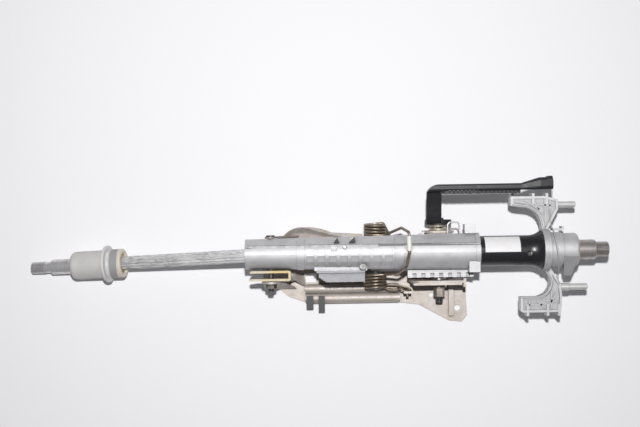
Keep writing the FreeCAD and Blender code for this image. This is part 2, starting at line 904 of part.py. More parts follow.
def ears(side, along_z):
    """The two ears of a joint yoke. side is +1 towards the wheel and -1 towards the lower shaft."""
    blocks = []
    for sign in (-1, 1):
        low, high = sorted((sign * ear_inner, sign * ear_outer))
        disc = cylinder_y(ear_half_width, low, high, 0, axis_z)
        x0, x1 = sorted((0, side * yoke_base_end))
        bar = box(x0, x1, low, high, axis_z - ear_half_width, axis_z + ear_half_width)
        blocks += [disc, bar]
    pair = blocks[0].multiFuse(blocks[1:])
    base_x = sorted((side * yoke_base_start, side * yoke_base_end))
    base = cylinder_x(ear_outer, *base_x)
    ends = [(0, 0), (0, ear_round), (side * 5, ear_round), (side * yoke_base_end, yoke_base_radius),
            (side * yoke_base_end, 0)]
    envelope = turned(ends).fuse(cylinder_x(ear_round, -ear_half_width, ear_half_width))
    yoke = pair.fuse(base).common(envelope)
    yoke = yoke.cut(cylinder_y(pin_radius + running_gap + cup_wall, -ear_round, ear_round, 0, axis_z))
    if along_z:
        yoke.rotate(vec(0, 0, axis_z), vec(1, 0, 0), 90)
    return yoke


def joint_cups(along_z):
    """Needle cups pressed into the ears, one on each end of a joint pin."""
    outer = pin_radius + running_gap + cup_wall
    cups = []
    for sign in (-1, 1):
        low, high = sorted((sign * ear_inner, sign * (ear_outer - 0.6)))
        cup = cylinder_y(outer, low, high, 0, axis_z)
        mouth = sorted((sign * (ear_inner - 1), sign * (ear_outer - 2)))
        cups.append(cup.cut(cylinder_y(pin_radius + running_gap, *mouth, 0, axis_z)))
    pair = Part.makeCompound(cups)
    if along_z:
        pair.rotate(vec(0, 0, axis_z), vec(1, 0, 0), 90)
    return pair


def joint_cross():
    """Four-pin cross of the universal joint."""
    reach = ear_outer - 2 - running_gap * 2
    hub = cylinder_y(cross_hub_radius, -ear_inner + free_gap, ear_inner - free_gap, 0, axis_z)
    upright = cylinder_z(cross_hub_radius, axis_z - ear_inner + free_gap, axis_z + ear_inner - free_gap, 0, 0)
    pin_y = cylinder_y(pin_radius, -reach, reach, 0, axis_z)
    pin_z = cylinder_z(pin_radius, axis_z - reach, axis_z + reach, 0, 0)
    return fused([hub, upright, pin_y, pin_z])


def fork_shaft():
    """Joint fork with its bearing journal and the long fluted inner shaft."""
    journal = cylinder_x(fork_journal_radius, yoke_base_end - 1, cavity_end + bearing_width + 8)
    inner = fluted_x(inner_shaft_radius, cavity_end + bearing_width + 7, inner_shaft_end)
    return fused([ears(1, False), journal, inner])


def fluted_shaft():
    """Corrugated lower shaft with its yoke welded on."""
    bar = fluted_x(fluted_radius, -fluted_end, -yoke_base_end + 0.5)
    return fused([ears(-1, True), bar])


def lower_tube():
    """Lower shaft tube that slides on the fluted shaft, ending in a splined tip."""
    mouth = -lower_tube_start - insert_length
    body = turned([(-lower_tube_end, 0), (-lower_tube_end, lower_tube_radius - chamfer / 2),
                   (-lower_tube_end + chamfer / 2, lower_tube_radius), (mouth, lower_tube_radius), (mouth, 0)])
    band = cylinder_x(lower_band_radius, -tip_start, -lower_tube_end)
    tip = toothed_x(tip_radius, tip_radius - tooth_depth, tip_teeth, -tip_end, -tip_start)
    bevel = turned([(-tip_end, 0), (-tip_end, tip_radius - chamfer), (-tip_end + chamfer, tip_radius + 0.5),
                    (-tip_start, tip_radius + 0.5), (-tip_start, 0)])
    body = body.multiFuse([band, tip.common(bevel)])
    bore = fluted_x(fluted_radius, -lower_bore_end, -lower_tube_start + 1, running_gap * 2)
    return body.cut(bore).removeSplitter()


def toothed_insert():
    """Toothed ring in the mouth of the lower tube, round the fluted shaft."""
    back, front = -lower_tube_start - insert_length, -lower_tube_start
    body = toothed_x(insert_radius, insert_radius - tooth_depth * 1.5, insert_teeth, back, front)
    return body.cut(fluted_x(fluted_radius, back, front + 1, running_gap * 2))


def firewall_sleeve():
    """Plastic sleeve round the lower tube, with a rounded end."""
    start, end = flange_x + seal_flange_width, sleeve_end
    outer = sleeve_radius
    bore = lower_tube_radius + free_gap
    profile = [(-end, bore), (-end, outer - sleeve_round),
               ((-end + sleeve_round * bulge, outer - sleeve_round * bulge), (-end + sleeve_round, outer)),
               (-start, outer), (-start, bore)]
    hollow = turned([(-end + sleeve_round, bore), (-end + sleeve_round, outer - sleeve_wall),
                     (-start - sleeve_wall, outer - sleeve_wall), (-start - sleeve_wall, bore)])
    return turned(profile).cut(hollow)


def seal_flange():
    """Flange and neck that seal against the body panel."""
    bore = lower_tube_radius + free_gap
    back, front = flange_x + seal_flange_width, nose_start + nose_length
    profile = [(-back, bore), (-back, seal_flange_radius - 1),
               ((-back + 0.3, seal_flange_radius - 0.3), (-back + 1, seal_flange_radius)),
               (-flange_x, seal_flange_radius), (-flange_x, neck_radius + 2), (-flange_x + 2, neck_radius),
               (-front, neck_radius), (-front, bore)]
    return turned(profile)


def nose_ring():
    """Open ring in front of the flange, round the toothed insert."""
    back, front = nose_start + nose_length, nose_start
    profile = [(-back, lower_tube_radius + free_gap), (-back, nose_radius),
               (-front - 2, nose_radius), ((-front - 0.6, nose_radius - 0.6), (-front, nose_radius - 2)),
               (-front, insert_radius + 3), (-front - 3, insert_radius + free_gap * 2),
               (-lower_tube_start - insert_length - 1, insert_radius + free_gap * 2),
               (-lower_tube_start - insert_length - 1, lower_tube_radius + free_gap)]
    return turned(profile)


def rail_section(inset):
    """Cross-section of y and z of the rail's two rounded ridges, drawn in by a wall's thickness."""
    inner, outer = -rail_inner_y - inset, -rail_outer_y + inset
    middle = -rail_valley_y
    return [(inner, -inset), (inner, rail_shoulder),
            (((inner + middle) / 2, rail_crest - inset), (middle, rail_height - inset)),
            (((outer + middle) / 2, rail_crest - inset), (outer, rail_shoulder)), (outer, -inset)]


def pressed_rail():
    """Long pressed rail along the bracket's outer edge, hollow below, with two rounded ridges."""
    plan = rounded(rectangle(rail_start, rail_end, -rail_outer_y, -rail_inner_y), opening_corner)
    shell = prism_x(rail_section(0), rail_start, rail_end).common(prism_z(plan, 0, rail_crest + 1))
    hollow = prism_x(rail_section(sheet - 0.5), rail_start + sheet, rail_end - sheet)
    return shell.cut(hollow).removeSplitter()


def base_corners():
    """Plan corners of the flat base, from the pivot end round to the ear and back below the housing."""
    points = [(base_left, base_left_y), (base_left + 1, base_left_y + yoke_outer_y - yoke_inner_y), *pivot_corners,
              (rail_start, rail_outer_y - rail_shoulder / 2), (rail_start + rail_shoulder, rail_outer_y),
              (rail_end, rail_outer_y), *ear_corners, (base_right, base_right_y)]
    return [(x, -y) for x, y in points] + [(base_right, base_upper_y), (base_left, base_upper_y)]


def mounting_bracket():
    """Base sheet with windows and holes, the ear, the pressed fold and the spring lug."""
    base = prism_z(rounded(base_corners(), sheet_corner), 0, sheet)
    boss = cylinder_z(ear_boss_radius, sheet, sheet + ear_boss_height, ear_x, -ear_y)
    fold = prism_z(rounded(rectangle(fold_x - fold_half_width, fold_x + fold_half_width,
                                     -fold_low_y + 2, -fold_high_y), fold_corner), 0, fold_height)
    fold_inner = box(fold_x - fold_half_width / 3, fold_x + fold_half_width / 3, -fold_low_y + 5,
                     -fold_high_y - 3, -1, fold_height - sheet)
    lug_y0, lug_y1 = -spring_lug_y - sheet, -spring_lug_y
    lug = box(spring_lug_x, spring_lug_x + spring_lug_width, lug_y0, lug_y1, 0, spring_lug_top)
    body = base.multiFuse([boss, fold, lug])
    cuts = [fold_inner,
            prism_z(rounded(rail_points_inner(), opening_corner), -1, sheet + 1),
            box(window_start, window_start + window_length, -window_low_y, -window_high_y, -1, sheet + 1),
            cylinder_z(ear_hole_radius, -1, fold_height, ear_x, -ear_y),
            cylinder_z(locating_radius, -1, fold_height, locating_x, -locating_y),
            cylinder_z(locating_radius, -1, sheet + 1, *small_hole),
            cylinder_y(wire_radius + free_gap, lug_y0 - 3, lug_y1 + 1,
                       hook_x, coil_z - coil_radius + hook_rise)]
    for sides in base_openings:
        cuts.append(prism_z(rounded(rectangle(*sides), opening_corner), -1, sheet + 1))
    return body.cut(cuts).removeSplitter()


def rail_points_inner():
    """Plan corners of the base's opening below the rail, one rim wall inside it."""
    return rectangle(rail_start, rail_end, -rail_outer_y - 1, -rail_inner_y)


def pivot_cheek():
    """Upright plate that carries the long pivot bolt."""
    lean = cheek_radius * diagonal
    points = [(-cheek_radius, axis_z), ((-lean, axis_z + lean), (0, axis_z + cheek_radius)),
              ((lean, axis_z + lean), (cheek_radius, axis_z)),
              (cheek_foot, sheet), (base_left + 2, sheet)]
    plate = prism_y(points, -cheek_y - sheet, -cheek_y)
    hole = cylinder_y(pivot_radius + running_gap, -cheek_y - sheet - 1, -cheek_y + 1, 0, axis_z)
    light_radius, light_x, light_z = cheek_hole
    light = cylinder_y(light_radius, -cheek_y - sheet - 1, -cheek_y + 1, light_x, light_z)
    return plate.cut([hole, light])


def sloped_pan(points, height):
    """A pressed sheet form whose top falls away outwards and towards the pivot end."""
    def above(drop):
        cover = box(-arch_end, arch_end * 2, -height, arch_end, 0, height)
        cover.rotate(vec(0, 0, 0), vec(1, 0, 0), -arch_lean)
        cover.rotate(vec(0, 0, 0), vec(0, 1, 0), -arch_slope / 2)
        cover.translate(vec(arch_peak_x + arch_reach[1], base_upper_y, height - drop))
        return cover
    block = prism_z(points, 0, height).cut(above(0))
    inner = Part.Face(outline(points, lambda x, y: vec(x, y, 0))).makeOffset2D(-sheet)
    hollow = inner.extrude(vec(0, 0, height - sheet)).cut(above(sheet))
    return block.cut(hollow)


def bracket_arch():
    """Pressed arch on the lever side, and the link up to the short pivot bolt."""
    (near, middle, far), (near_fall, middle_fall, far_fall) = arch_reach, arch_fall
    points = [(arch_start, base_upper_y), (arch_start, arch_start_y),
              ((arch_start + near, arch_peak_y - near_fall), (arch_peak_x, arch_peak_y)),
              ((arch_peak_x + middle, arch_peak_y - middle_fall), (arch_peak_x + far, arch_peak_y - far_fall)),
              (arch_end, arch_end_y), (arch_end, base_upper_y)]
    form = sloped_pan(points, arch_height)
    lean = link_radius * diagonal
    side = [(-link_radius, axis_z), ((-lean, axis_z + lean), (0, axis_z + link_radius)),
            ((lean, axis_z + lean), (link_radius, axis_z)),
            (arch_start + link_foot[1], link_foot_z), (arch_start + link_foot[0], link_foot_z)]
    link = prism_y(side, link_y, link_y + link_thickness)
    hole = cylinder_y(pivot_radius + running_gap, link_y - 1, link_y + link_thickness + 1, 0, axis_z)
    return fused([form, link]).cut(hole)


def tilt_slot(y0, y1):
    """Curved slot about the tilt pivot that lets the clamp bolt rise and fall."""
    drop = axis_z - clamp_z
    radius = math.hypot(clamp_x, drop)
    middle = -math.atan2(drop, clamp_x)
    half = math.radians(tilt_angle)
    w = clamp_bolt_radius + clamp_slot_gap

    def at(r, angle):
        return (r * math.cos(middle + angle), axis_z + r * math.sin(middle + angle))
    end = w / radius
    points = [at(radius - w, -half), (at(radius, -half - end), at(radius + w, -half)),
              (at(radius + w, 0), at(radius + w, half)), (at(radius, half + end), at(radius - w, half)),
              (at(radius - w, 0), at(radius - w, -half))]
    return prism_y(points, y0, y1)


def clamp_cheeks():
    """Two upright plates with tilt slots, and the cross piece at the wheel end."""
    r = clamp_cheek_round
    start, end, top = clamp_cheek_start, clamp_cheek_end, clamp_cheek_top
    outer = [(start, sheet), (start, top - r), ((start + r * bulge, top - r * bulge), (start + r, top)),
             (end - sheet, top), (end - sheet, cross_piece_height - r), (base_right - 4, sheet)]
    far = prism_y(outer, -clamp_cheek_y - sheet, -clamp_cheek_y)
    cross = box(end - sheet - 1, end, -clamp_cheek_y - sheet * 3, -clamp_cheek_y + sheet,
                cross_piece_height - r, top)
    x0, x1 = clamp_x - lever_cheek_half, clamp_x + lever_cheek_half
    inner = [(x0, sheet), (x0, lever_cheek_top - r), ((x0 + r * bulge, lever_cheek_top - r * bulge),
             (x0 + r, lever_cheek_top)), (x1 - r, lever_cheek_top),
             ((x1 - r * bulge, lever_cheek_top - r * bulge), (x1, lever_cheek_top - r)), (x1, sheet)]
    near = prism_y(inner, lever_cheek_y, lever_cheek_y + sheet)
    foot = box(x0, x1, base_upper_y, lever_cheek_y + sheet, 0, sheet)
    near = near.fuse(foot)
    slot = tilt_slot(-clamp_cheek_y - sheet - 1, lever_cheek_y + sheet + 1)
    return Part.makeCompound([far.fuse(cross).cut(slot).removeSplitter(), near.cut(slot).removeSplitter()])


def friction_plate():
    """Stiffening plate against the outside of the far clamp cheek."""
    y1 = -clamp_cheek_y - sheet
    plate = box(clamp_cheek_start + sheet, clamp_cheek_end - sheet * 2, y1 - sheet, y1,
                sheet * 3, clamp_cheek_top + 1)
    return plate.cut(tilt_slot(y1 - sheet - 1, y1 + 1))


def pivot_yoke():
    """Bright yoke between the housing and the pivot cheek, closed towards the wheel."""
    inner, outer = -yoke_inner_y, -yoke_outer_y
    low, high = axis_z - yoke_half_height, axis_z + yoke_half_height
    outer_form = prism_z(rounded(rectangle(yoke_left, yoke_right, outer, inner), 3.0), low, high)
    hollow = box(yoke_left - 1, yoke_right - yoke_sheet, outer + yoke_sheet, inner - yoke_sheet,
                 low - 1, high + 1)
    hole = cylinder_y(pivot_radius + running_gap, outer - 1, inner + 1, 0, axis_z)
    ends = prism_y([(yoke_left - 1, low - 1), (yoke_left + 12, low - 1), (yoke_left - 1, axis_z - 3)],
                   outer - 1, inner + 1)
    return outer_form.cut([hollow, hole, ends])


def long_pivot_bolt():
    """Pivot bolt on the rail side, with its nut outside the cheek."""
    tip_in = cavity_radius + free_gap
    shank = cylinder_y(pivot_radius, -bolt_tip, -tip_in, 0, axis_z)
    face = -cheek_y - sheet
    seat = face - ring_width
    washer = cylinder_y(bolt_head_radius + 1, seat, face, 0, axis_z)
    head = hex_nut_y(bolt_head_radius, seat - bolt_head_height, seat, 0, axis_z)
    return fused([shank, washer, head])


def short_pivot_bolt():
    """Pivot bolt on the lever side, with a low head."""
    face = link_y + link_thickness
    shank = cylinder_y(pivot_radius, cavity_radius + free_gap, face, 0, axis_z)
    head = cylinder_y(bolt_head_radius - 2, face, face + 2, 0, axis_z)
    return fused([shank, head])


def pivot_bushes():
    """Plain bushes in the housing wall, round the two pivot bolts."""
    outer, inner = pivot_radius + bush_wall * 3, pivot_radius + running_gap
    wall_in = cavity_radius + free_gap * 2
    left = ring_y(outer, inner, -housing_left_radius - bush_flange, -wall_in, 0, axis_z)
    right = ring_y(outer, inner, wall_in, housing_left_radius, 0, axis_z)
    return Part.makeCompound([left, right])


def coil(inner_y, turns):
    """Helical coil on the rail side, and the points and directions of its two ends."""
    height = coil_pitch * turns
    slope = coil_pitch / (2 * math.pi * coil_radius)
    outer_y = -inner_y - wire_radius - height
    section = Part.Wire([Part.makeCircle(wire_radius, vec(coil_radius, 0, 0), vec(0, 1, slope))])
    helix = Part.Wire(Part.makeHelix(coil_pitch, height, coil_radius))
    body = helix.makePipeShell([section], True, True)
    body.Placement = FreeCAD.Placement(
        FreeCAD.Matrix(0, -1, 0, coil_x, 0, 0, 1, outer_y, -1, 0, 0, coil_z, 0, 0, 0, 1))
    entry = vec(coil_x, outer_y, coil_z - coil_radius)
    leave = vec(coil_x, outer_y + height, coil_z + coil_radius)
    return body, entry, vec(1, -slope, 0).normalize(), leave, vec(1, slope, 0).normalize()


def half_spring(inner_y, turns, shoulders, foot):
    """One coil with its outer leg, and its half of the bridge over the housing."""
    body, entry, entry_way, leave, leave_way = coil(inner_y, turns)
    route = [leave, leave + leave_way * leg_length]
    route += [vec(*point) for point in shoulders]
    route.append(vec(bridge_x, 0, axis_z + bridge_radius))
    inner_leg = bent_wire(route, wire_radius, bend_radius)
    outer_leg = bent_wire([entry] + foot(entry, entry_way), wire_radius, hook_bend)
    return [body, inner_leg, outer_leg]


def hooked_foot(entry, way):
    """Outer leg on the rail side: along the rail, up, and through the bracket's lug."""
    corner = entry + way * (hook_x - coil_x)
    top = corner + vec(0, 0, hook_rise)
    return [corner, top, vec(hook_x, hook_end_y, top.z)]


def resting_foot(entry, way):
    """Outer leg on the lever side: back below the housing, down onto the base."""
    return [vec(*point) for point in rest_leg]


def balance_spring():
    """Double torsion spring: two coils whose common bridge lifts the housing."""
    rail_half = half_spring(coil_inner_near, coil_turns_near, rail_shoulders, hooked_foot)
    far_half = half_spring(coil_inner_far, coil_turns_far, lever_shoulders, resting_foot)
    lever_half = [shape.mirror(vec(0, 0, 0), vec(0, 1, 0)) for shape in far_half]
    return fused(rail_half + lever_half)


def spring_sleeve():
    """Plastic tube on the spring's bridge, where it bears on the housing."""
    return ring_y(wire_radius + running_gap + sleeve_tube_wall, wire_radius + running_gap, sleeve_start_y,
                  sleeve_start_y + sleeve_tube_length, bridge_x, axis_z + bridge_radius)


def coil_places():
    """Side of the column, inner end and length of each of the two coils."""
    return ((-1, coil_inner_near, coil_pitch * coil_turns_near + 2 * wire_radius),
            (1, coil_inner_far, coil_pitch * coil_turns_far + 2 * wire_radius))


def spring_spools():
    """Two flanged spools that carry the spring's coils."""
    radius = coil_radius - wire_radius - spool_gap
    spools = []
    for side, inner_y, height in coil_places():
        near, far = side * (inner_y - spool_flange), side * (inner_y + height - wire_radius)
        low, high = sorted((near, far))
        body = cylinder_y(radius, low, high, coil_x, coil_z)
        rim_y = sorted((near, side * (inner_y - free_gap)))
        rim = cylinder_y(radius + wire_radius, *rim_y, coil_x, coil_z)
        bore = cylinder_y(perch_pin_radius + running_gap, low - 1, high + 1, coil_x, coil_z)
        spools.append(body.fuse(rim).cut(bore).removeSplitter())
    return Part.makeCompound(spools)


def spring_perches():
    """Upright tabs of the base with headed pins for the spools."""
    perches = []
    for side, inner_y, height in coil_places():
        near = side * (inner_y - spool_flange - free_gap)
        tab_y0, tab_y1 = sorted((near, near - side * sheet))
        half = perch_width / 2
        lean = half * diagonal
        side_view = [(coil_x - half, sheet), (coil_x - half, coil_z),
                     ((coil_x - lean, coil_z + lean), (coil_x, coil_z + half)),
                     ((coil_x + lean, coil_z + lean), (coil_x + half, coil_z)), (coil_x + half, sheet)]
        tab = prism_y(side_view, tab_y0, tab_y1)
        far = side * (inner_y + height - wire_radius + free_gap)
        pin = cylinder_y(perch_pin_radius, *sorted((near - side, far)), coil_x, coil_z)
        head = cylinder_y(perch_pin_radius * 1.6, *sorted((far, far + side * pin_head)), coil_x, coil_z)
        perches.append(fused([tab, pin, head]))
    return Part.makeCompound(perches)


def cam_ring(base_low, base_high, tip, bore):
    """A cam disc with raised lobes that reach from its face to the tip."""
    disc = ring_y(cam_radius, bore, base_low, base_high, clamp_x, clamp_z)
    face = base_high if tip > base_high else base_low
    inner_reach = bore + 1.5
    lobes = []
    for i in range(cam_lobes):
        spread = math.radians(cam_lobe_angle)
        middle = 2 * math.pi * i / cam_lobes
        corners = [(r * math.cos(middle + a), r * math.sin(middle + a))
                   for r, a in ((inner_reach, -spread), (cam_radius - 1, -spread),
                                (cam_radius - 1, spread), (inner_reach, spread))]
        low, high = sorted((face, tip))
        lobes.append(prism_y([(clamp_x + a, clamp_z + b) for a, b in corners], low, high))
    return fused([disc] + lobes)


cam_face = lever_cheek_y + sheet + free_gap
follower_tip = cam_face + cam_thickness + cam_lobe_height
moving_tip = follower_tip + free_gap
moving_face = moving_tip + cam_lobe_height
hub_inner = moving_face + cam_thickness
hub_outer = hub_inner + lever_hub_y


def cam_follower():
    """Cam disc that can't turn: it presses on the near clamp cheek."""
    disc = cam_ring(cam_face, cam_face + cam_thickness, follower_tip, clamp_bolt_radius + free_gap)
    key = box(clamp_x - cam_radius, clamp_x + cam_radius, cam_face, cam_face + cam_thickness,
              clamp_z - cam_radius * 1.1, clamp_z - cam_radius * 0.8)
    bore = cylinder_y(clamp_bolt_radius + free_gap, cam_face - 1, hub_inner, clamp_x, clamp_z)
    return disc.fuse(key).cut(bore)


def moving_cam():
    return cam_ring(moving_face, hub_inner, moving_tip, clamp_bolt_radius)


def clamp_bolt():
    """Long clamp bolt with a low round head outside the lever."""
    shank = cylinder_y(clamp_bolt_radius, -nut_end - bolt_end_length, hub_outer, clamp_x, clamp_z)
    head = cylinder_y(nut_radius, hub_outer, hub_outer + bolt_head_height / 2, clamp_x, clamp_z)
    socket = prism_y([(clamp_x + a, clamp_z + b) for a, b in hexagon(nut_radius / 2)],
                     hub_outer + 1, hub_outer + bolt_head_height)
    return fused([shank, head]).cut(socket)


plate_face = clamp_cheek_y + 2 * sheet
washer_end = plate_face + free_gap + washer_thickness
nut_start = washer_end + free_gap
nut_end = nut_start + 2 + nut_length


def clamp_nut():
    """Flanged nut on the far end of the clamp bolt."""
    flange = cylinder_y(nut_flange_radius, -nut_start - 2, -nut_start, clamp_x, clamp_z)
    body = hex_nut_y(nut_radius, -nut_end, -nut_start - 2, clamp_x, clamp_z)
    return fused([flange, body]).cut(cylinder_y(clamp_bolt_radius, -nut_end - 1, 0, clamp_x, clamp_z))


def clamp_washers():
    """Washer between the plate and the nut, and the spacer between the lug and the far cheek."""
    bore = clamp_bolt_radius + free_gap
    outer = ring_y(washer_radius, bore, -washer_end, -plate_face - free_gap, clamp_x, clamp_z)
    spacer = ring_y(washer_radius - 1, bore, -clamp_cheek_y + free_gap, -flange_reach, clamp_x, clamp_z)
    return Part.makeCompound([outer, spacer])


def rounded_section(width, depth, corner, place):
    """A rounded rectangle about the origin, as a wire of four lines and four arcs."""
    return outline(rounded(rectangle(-width / 2, width / 2, -depth / 2, depth / 2), corner), place)


def lever_arm():
    """Arm that rises from the hub out to the handle."""
    root_y = (hub_inner + hub_outer) / 2
    rise = handle_z - arm_root_z
    stations = [(arm_root_z, root_y, arm_start_width, arm_start_depth),
                (arm_root_z + rise * arm_lead, root_y + 1, arm_start_width, arm_start_depth)]
    for i in range(1, arm_stations + 1):
        share = i / arm_stations
        sweep = (1 - math.cos(math.pi * share)) / 2
        stations.append((arm_root_z + rise * (arm_lead + (arm_top - arm_lead) * share),
                         root_y + 1 + (handle_y - root_y - 1) * sweep,
                         arm_start_width + (arm_end_width - arm_start_width) * share,
                         arm_start_depth + (arm_end_depth - arm_start_depth) * share))
    wires = []
    for z, y, width, depth in stations:
        x = arm_x + (arm_top_x - arm_x) * (z - arm_root_z) / rise
        wires.append(rounded_section(width, depth, depth * arm_corner,
                                     lambda a, b, x=x, y=y, z=z: vec(x + a, y + b, z)))
    return Part.makeLoft(wires, True, True)


def elbow_corner():
    """What is taken off the outer corner between the arm and the handle, so that it turns in a round."""
    left, top = arm_top_x - arm_end_width / 2, handle_y + handle_depth / 2
    corner = box(left - 1, left + elbow_radius, top - elbow_radius, top + 1, 0, handle_z * 2)
    return corner.cut(cylinder_z(elbow_radius, 0, handle_z * 2, left + elbow_radius, top - elbow_radius))


def lever_handle():
    """Handle along the column, with a step and a wide paddle at its end."""
    start = arm_top_x - arm_end_width / 2
    stations = [(start, handle_depth - 3, handle_height - 4), (start + 3, handle_depth, handle_height),
                (handle_step_x - 2, handle_depth, handle_height),
                (handle_step_x + 2, handle_depth, grip_height),
                (paddle_start_x, handle_depth, grip_height + 2), (paddle_full_x, paddle_depth, paddle_height),
                (paddle_cap_x, paddle_depth, paddle_height), (paddle_cap_x + 1, cap_depth, paddle_height),
                (handle_end_x - 1, cap_depth, paddle_height), (handle_end_x, cap_depth - 3, paddle_height - 3)]
    wires = []
    for x, depth, height in stations:
        middle_y = handle_y + (depth - handle_depth) / 2
        wires.append(rounded_section(depth, height, depth * arm_corner,
                                     lambda a, b, x=x, y=middle_y: vec(x, y + a, handle_z + b)))
    edge = handle_y - handle_depth / 2
    teeth = box(grip_teeth_start, paddle_start_x - 1, edge - grip_teeth_reach, edge + 2,
                handle_z - handle_height / 2 + 2, handle_z + 1)
    body = Part.makeLoft(wires, True, True).fuse(teeth)
    grooves = []
    for i in range(grip_grooves):
        x = grip_groove_start + i * grip_groove_pitch
        grooves.append(box(x, x + grip_groove_pitch / 2, edge - paddle_depth, edge + 1,
                           handle_z - paddle_height, handle_z + grip_height / 2 - 2))
    return body.cut(grooves)


def clamp_lever():
    """Black lever: round hub on the clamp bolt, rising arm and handle."""
    hub = cylinder_y(lever_hub_radius, hub_inner, hub_outer, clamp_x, clamp_z)
    dish = ring_y(lever_hub_radius - 2.5, nut_radius + 2, hub_outer - 2, hub_outer + 1, clamp_x, clamp_z)
    bore = cylinder_y(clamp_bolt_radius, hub_inner - 1, hub_outer + 1, clamp_x, clamp_z)
    return fused([hub.cut(dish), lever_arm(), lever_handle()]).cut([bore, elbow_corner()])


def wire_loop():
    """Bent wire loop on the housing's side, behind the lever's hub."""
    face = facet_proud + running_gap
    start_y, end_y = housing_radius(loop_start_x) + face, housing_radius(loop_end_x) + face
    route = [vec(loop_start_x, start_y, loop_z), vec(loop_start_x, loop_reach, loop_z),
             vec(loop_end_x, loop_reach, loop_z), vec(loop_end_x, end_y, loop_z)]
    return bent_wire(route, loop_wire, loop_wire * 4)


def cable_clips():
    """Two plastic clips that grip the outer edge of the pressed rail."""
    clips = []
    for x, width, reach in zip(clip_positions, clip_widths, clip_reach):
        top = rail_crest + clip_height
        body = box(x, x + width, -reach, -clip_inner_y, 1.0, top)
        x0, x1 = x - 1, x + width + 1
        rail = box(x0, x1, -rail_outer_y - free_gap / 3, -rail_inner_y, 0, rail_crest + free_gap)
        slot = box(x0, x1, -reach + clip_lip, -rail_outer_y - clip_lip, -1, rail_height - clip_lip)
        clips.append(body.cut([rail, slot]))
    return Part.makeCompound(clips)


def case_screw():
    """Round-headed screw on the housing's boss, beside the lock case."""
    seat = axis_z + screw_boss_top
    head = cylinder_z(screw_head_radius, seat, seat + screw_head_height, case_screw_x, -case_screw_y)
    socket = prism_z([(case_screw_x + a, -case_screw_y + b) for a, b in hexagon(screw_head_radius / 2)],
                     seat + screw_head_height / 2, seat + screw_head_height + 1)
    return head.cut(socket)


def main():
    os.makedirs("parts", exist_ok=True)
    pieces = {
        "mounting_bracket": mounting_bracket(),
        "pressed_rail": pressed_rail(),
        "pivot_cheek": pivot_cheek(),
        "bracket_arch": bracket_arch(),
        "clamp_cheeks": clamp_cheeks(),
        "friction_plate": friction_plate(),
        "pivot_yoke": pivot_yoke(),
        "long_pivot_bolt": long_pivot_bolt(),
        "short_pivot_bolt": short_pivot_bolt(),
        "balance_spring": balance_spring(),
        "spring_sleeve": spring_sleeve(),
        "spring_spools": spring_spools(),
        "spring_perches": spring_perches(),
        "cable_clips": cable_clips(),
        "column_housing": column_housing(),
        "case_screw": case_screw(),
        "wire_loop": wire_loop(),
        "clamp_washers": clamp_washers(),
        "cam_follower": cam_follower(),
        "moving_cam": moving_cam(),
        "clamp_bolt": clamp_bolt(),
        "clamp_nut": clamp_nut(),
        "clamp_lever": clamp_lever(),
        "lower_bearing": bearing(lower_bearing_radius, fork_journal_radius + running_gap, cavity_end),
        "jacket_bearing": bearing(jacket_radius - jacket_wall, wheel_shaft_radius + running_gap,
                                  jacket_bearing_x),
        "upper_bearing": bearing(upper_bearing_radius, wheel_shaft_radius + running_gap, upper_bearing_x),
        "upper_ring": retaining_ring(upper_bearing_radius, upper_bearing_radius - 3,
                                     upper_bearing_x + bearing_width),
        "lock_case": lock_case(),
        "pivot_bushes": pivot_bushes(),
        "guide_bushes": guide_bushes(),
        "jacket_tube": jacket_tube(),
        "switch_carrier": switch_carrier(),
        "upper_stud": upper_stud(),
        "lower_stud": lower_stud(),
        "wheel_shaft": wheel_shaft(),
        "fork_shaft": fork_shaft(),
        "fork_cups": joint_cups(False),
        "joint_cross": pitched(joint_cross()),
        "yoke_cups": pitched(joint_cups(True)),
        "fluted_shaft": lower(fluted_shaft()),
        "lower_tube": lower(lower_tube()),
        "toothed_insert": lower(toothed_insert()),
        "firewall_sleeve": lower(firewall_sleeve()),
        "seal_flange": lower(seal_flange()),
        "nose_ring": lower(nose_ring()),
    }
    for name, shape in pieces.items():
        shape.exportStep(os.path.join("parts", name + ".step"))
        print(name, len(shape.Solids), shape.isValid(), round(shape.Volume / 1000, 2))


main()
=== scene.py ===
"""Finishes and fine parts of an adjustable steering column, laid out as a Blender add-on.

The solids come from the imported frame. This file gives each of them its finish, adds the thin and
small parts that lie on them, and sets the stage. Lengths are metres, and plain numbers inside the forms
are millimetres until they meet MM. The axes are the frame's: X runs along the column towards the
steering wheel, Y towards the clamp lever, Z up.
"""

import json
import math

import bmesh
import bpy
import numpy as np
from mathutils import Matrix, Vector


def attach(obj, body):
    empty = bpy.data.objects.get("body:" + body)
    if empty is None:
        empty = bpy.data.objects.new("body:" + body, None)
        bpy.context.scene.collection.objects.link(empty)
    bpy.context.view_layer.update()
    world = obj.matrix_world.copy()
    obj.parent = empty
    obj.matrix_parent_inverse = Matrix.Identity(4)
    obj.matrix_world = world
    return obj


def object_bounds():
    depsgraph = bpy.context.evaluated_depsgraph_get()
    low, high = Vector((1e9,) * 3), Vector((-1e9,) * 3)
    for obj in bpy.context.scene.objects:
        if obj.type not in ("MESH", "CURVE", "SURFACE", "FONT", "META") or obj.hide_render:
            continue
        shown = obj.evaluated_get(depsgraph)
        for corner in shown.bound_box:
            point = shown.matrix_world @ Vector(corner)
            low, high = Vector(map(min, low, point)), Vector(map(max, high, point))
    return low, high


bl_info = {
    "name": "Steering column finishes",
    "version": (1, 0, 0),
    "blender": (4, 5, 0),
    "location": "3D Viewport > Sidebar > Column",
    "description": "Finishes, fine parts and a stage for an adjustable steering column",
    "category": "Object",
}

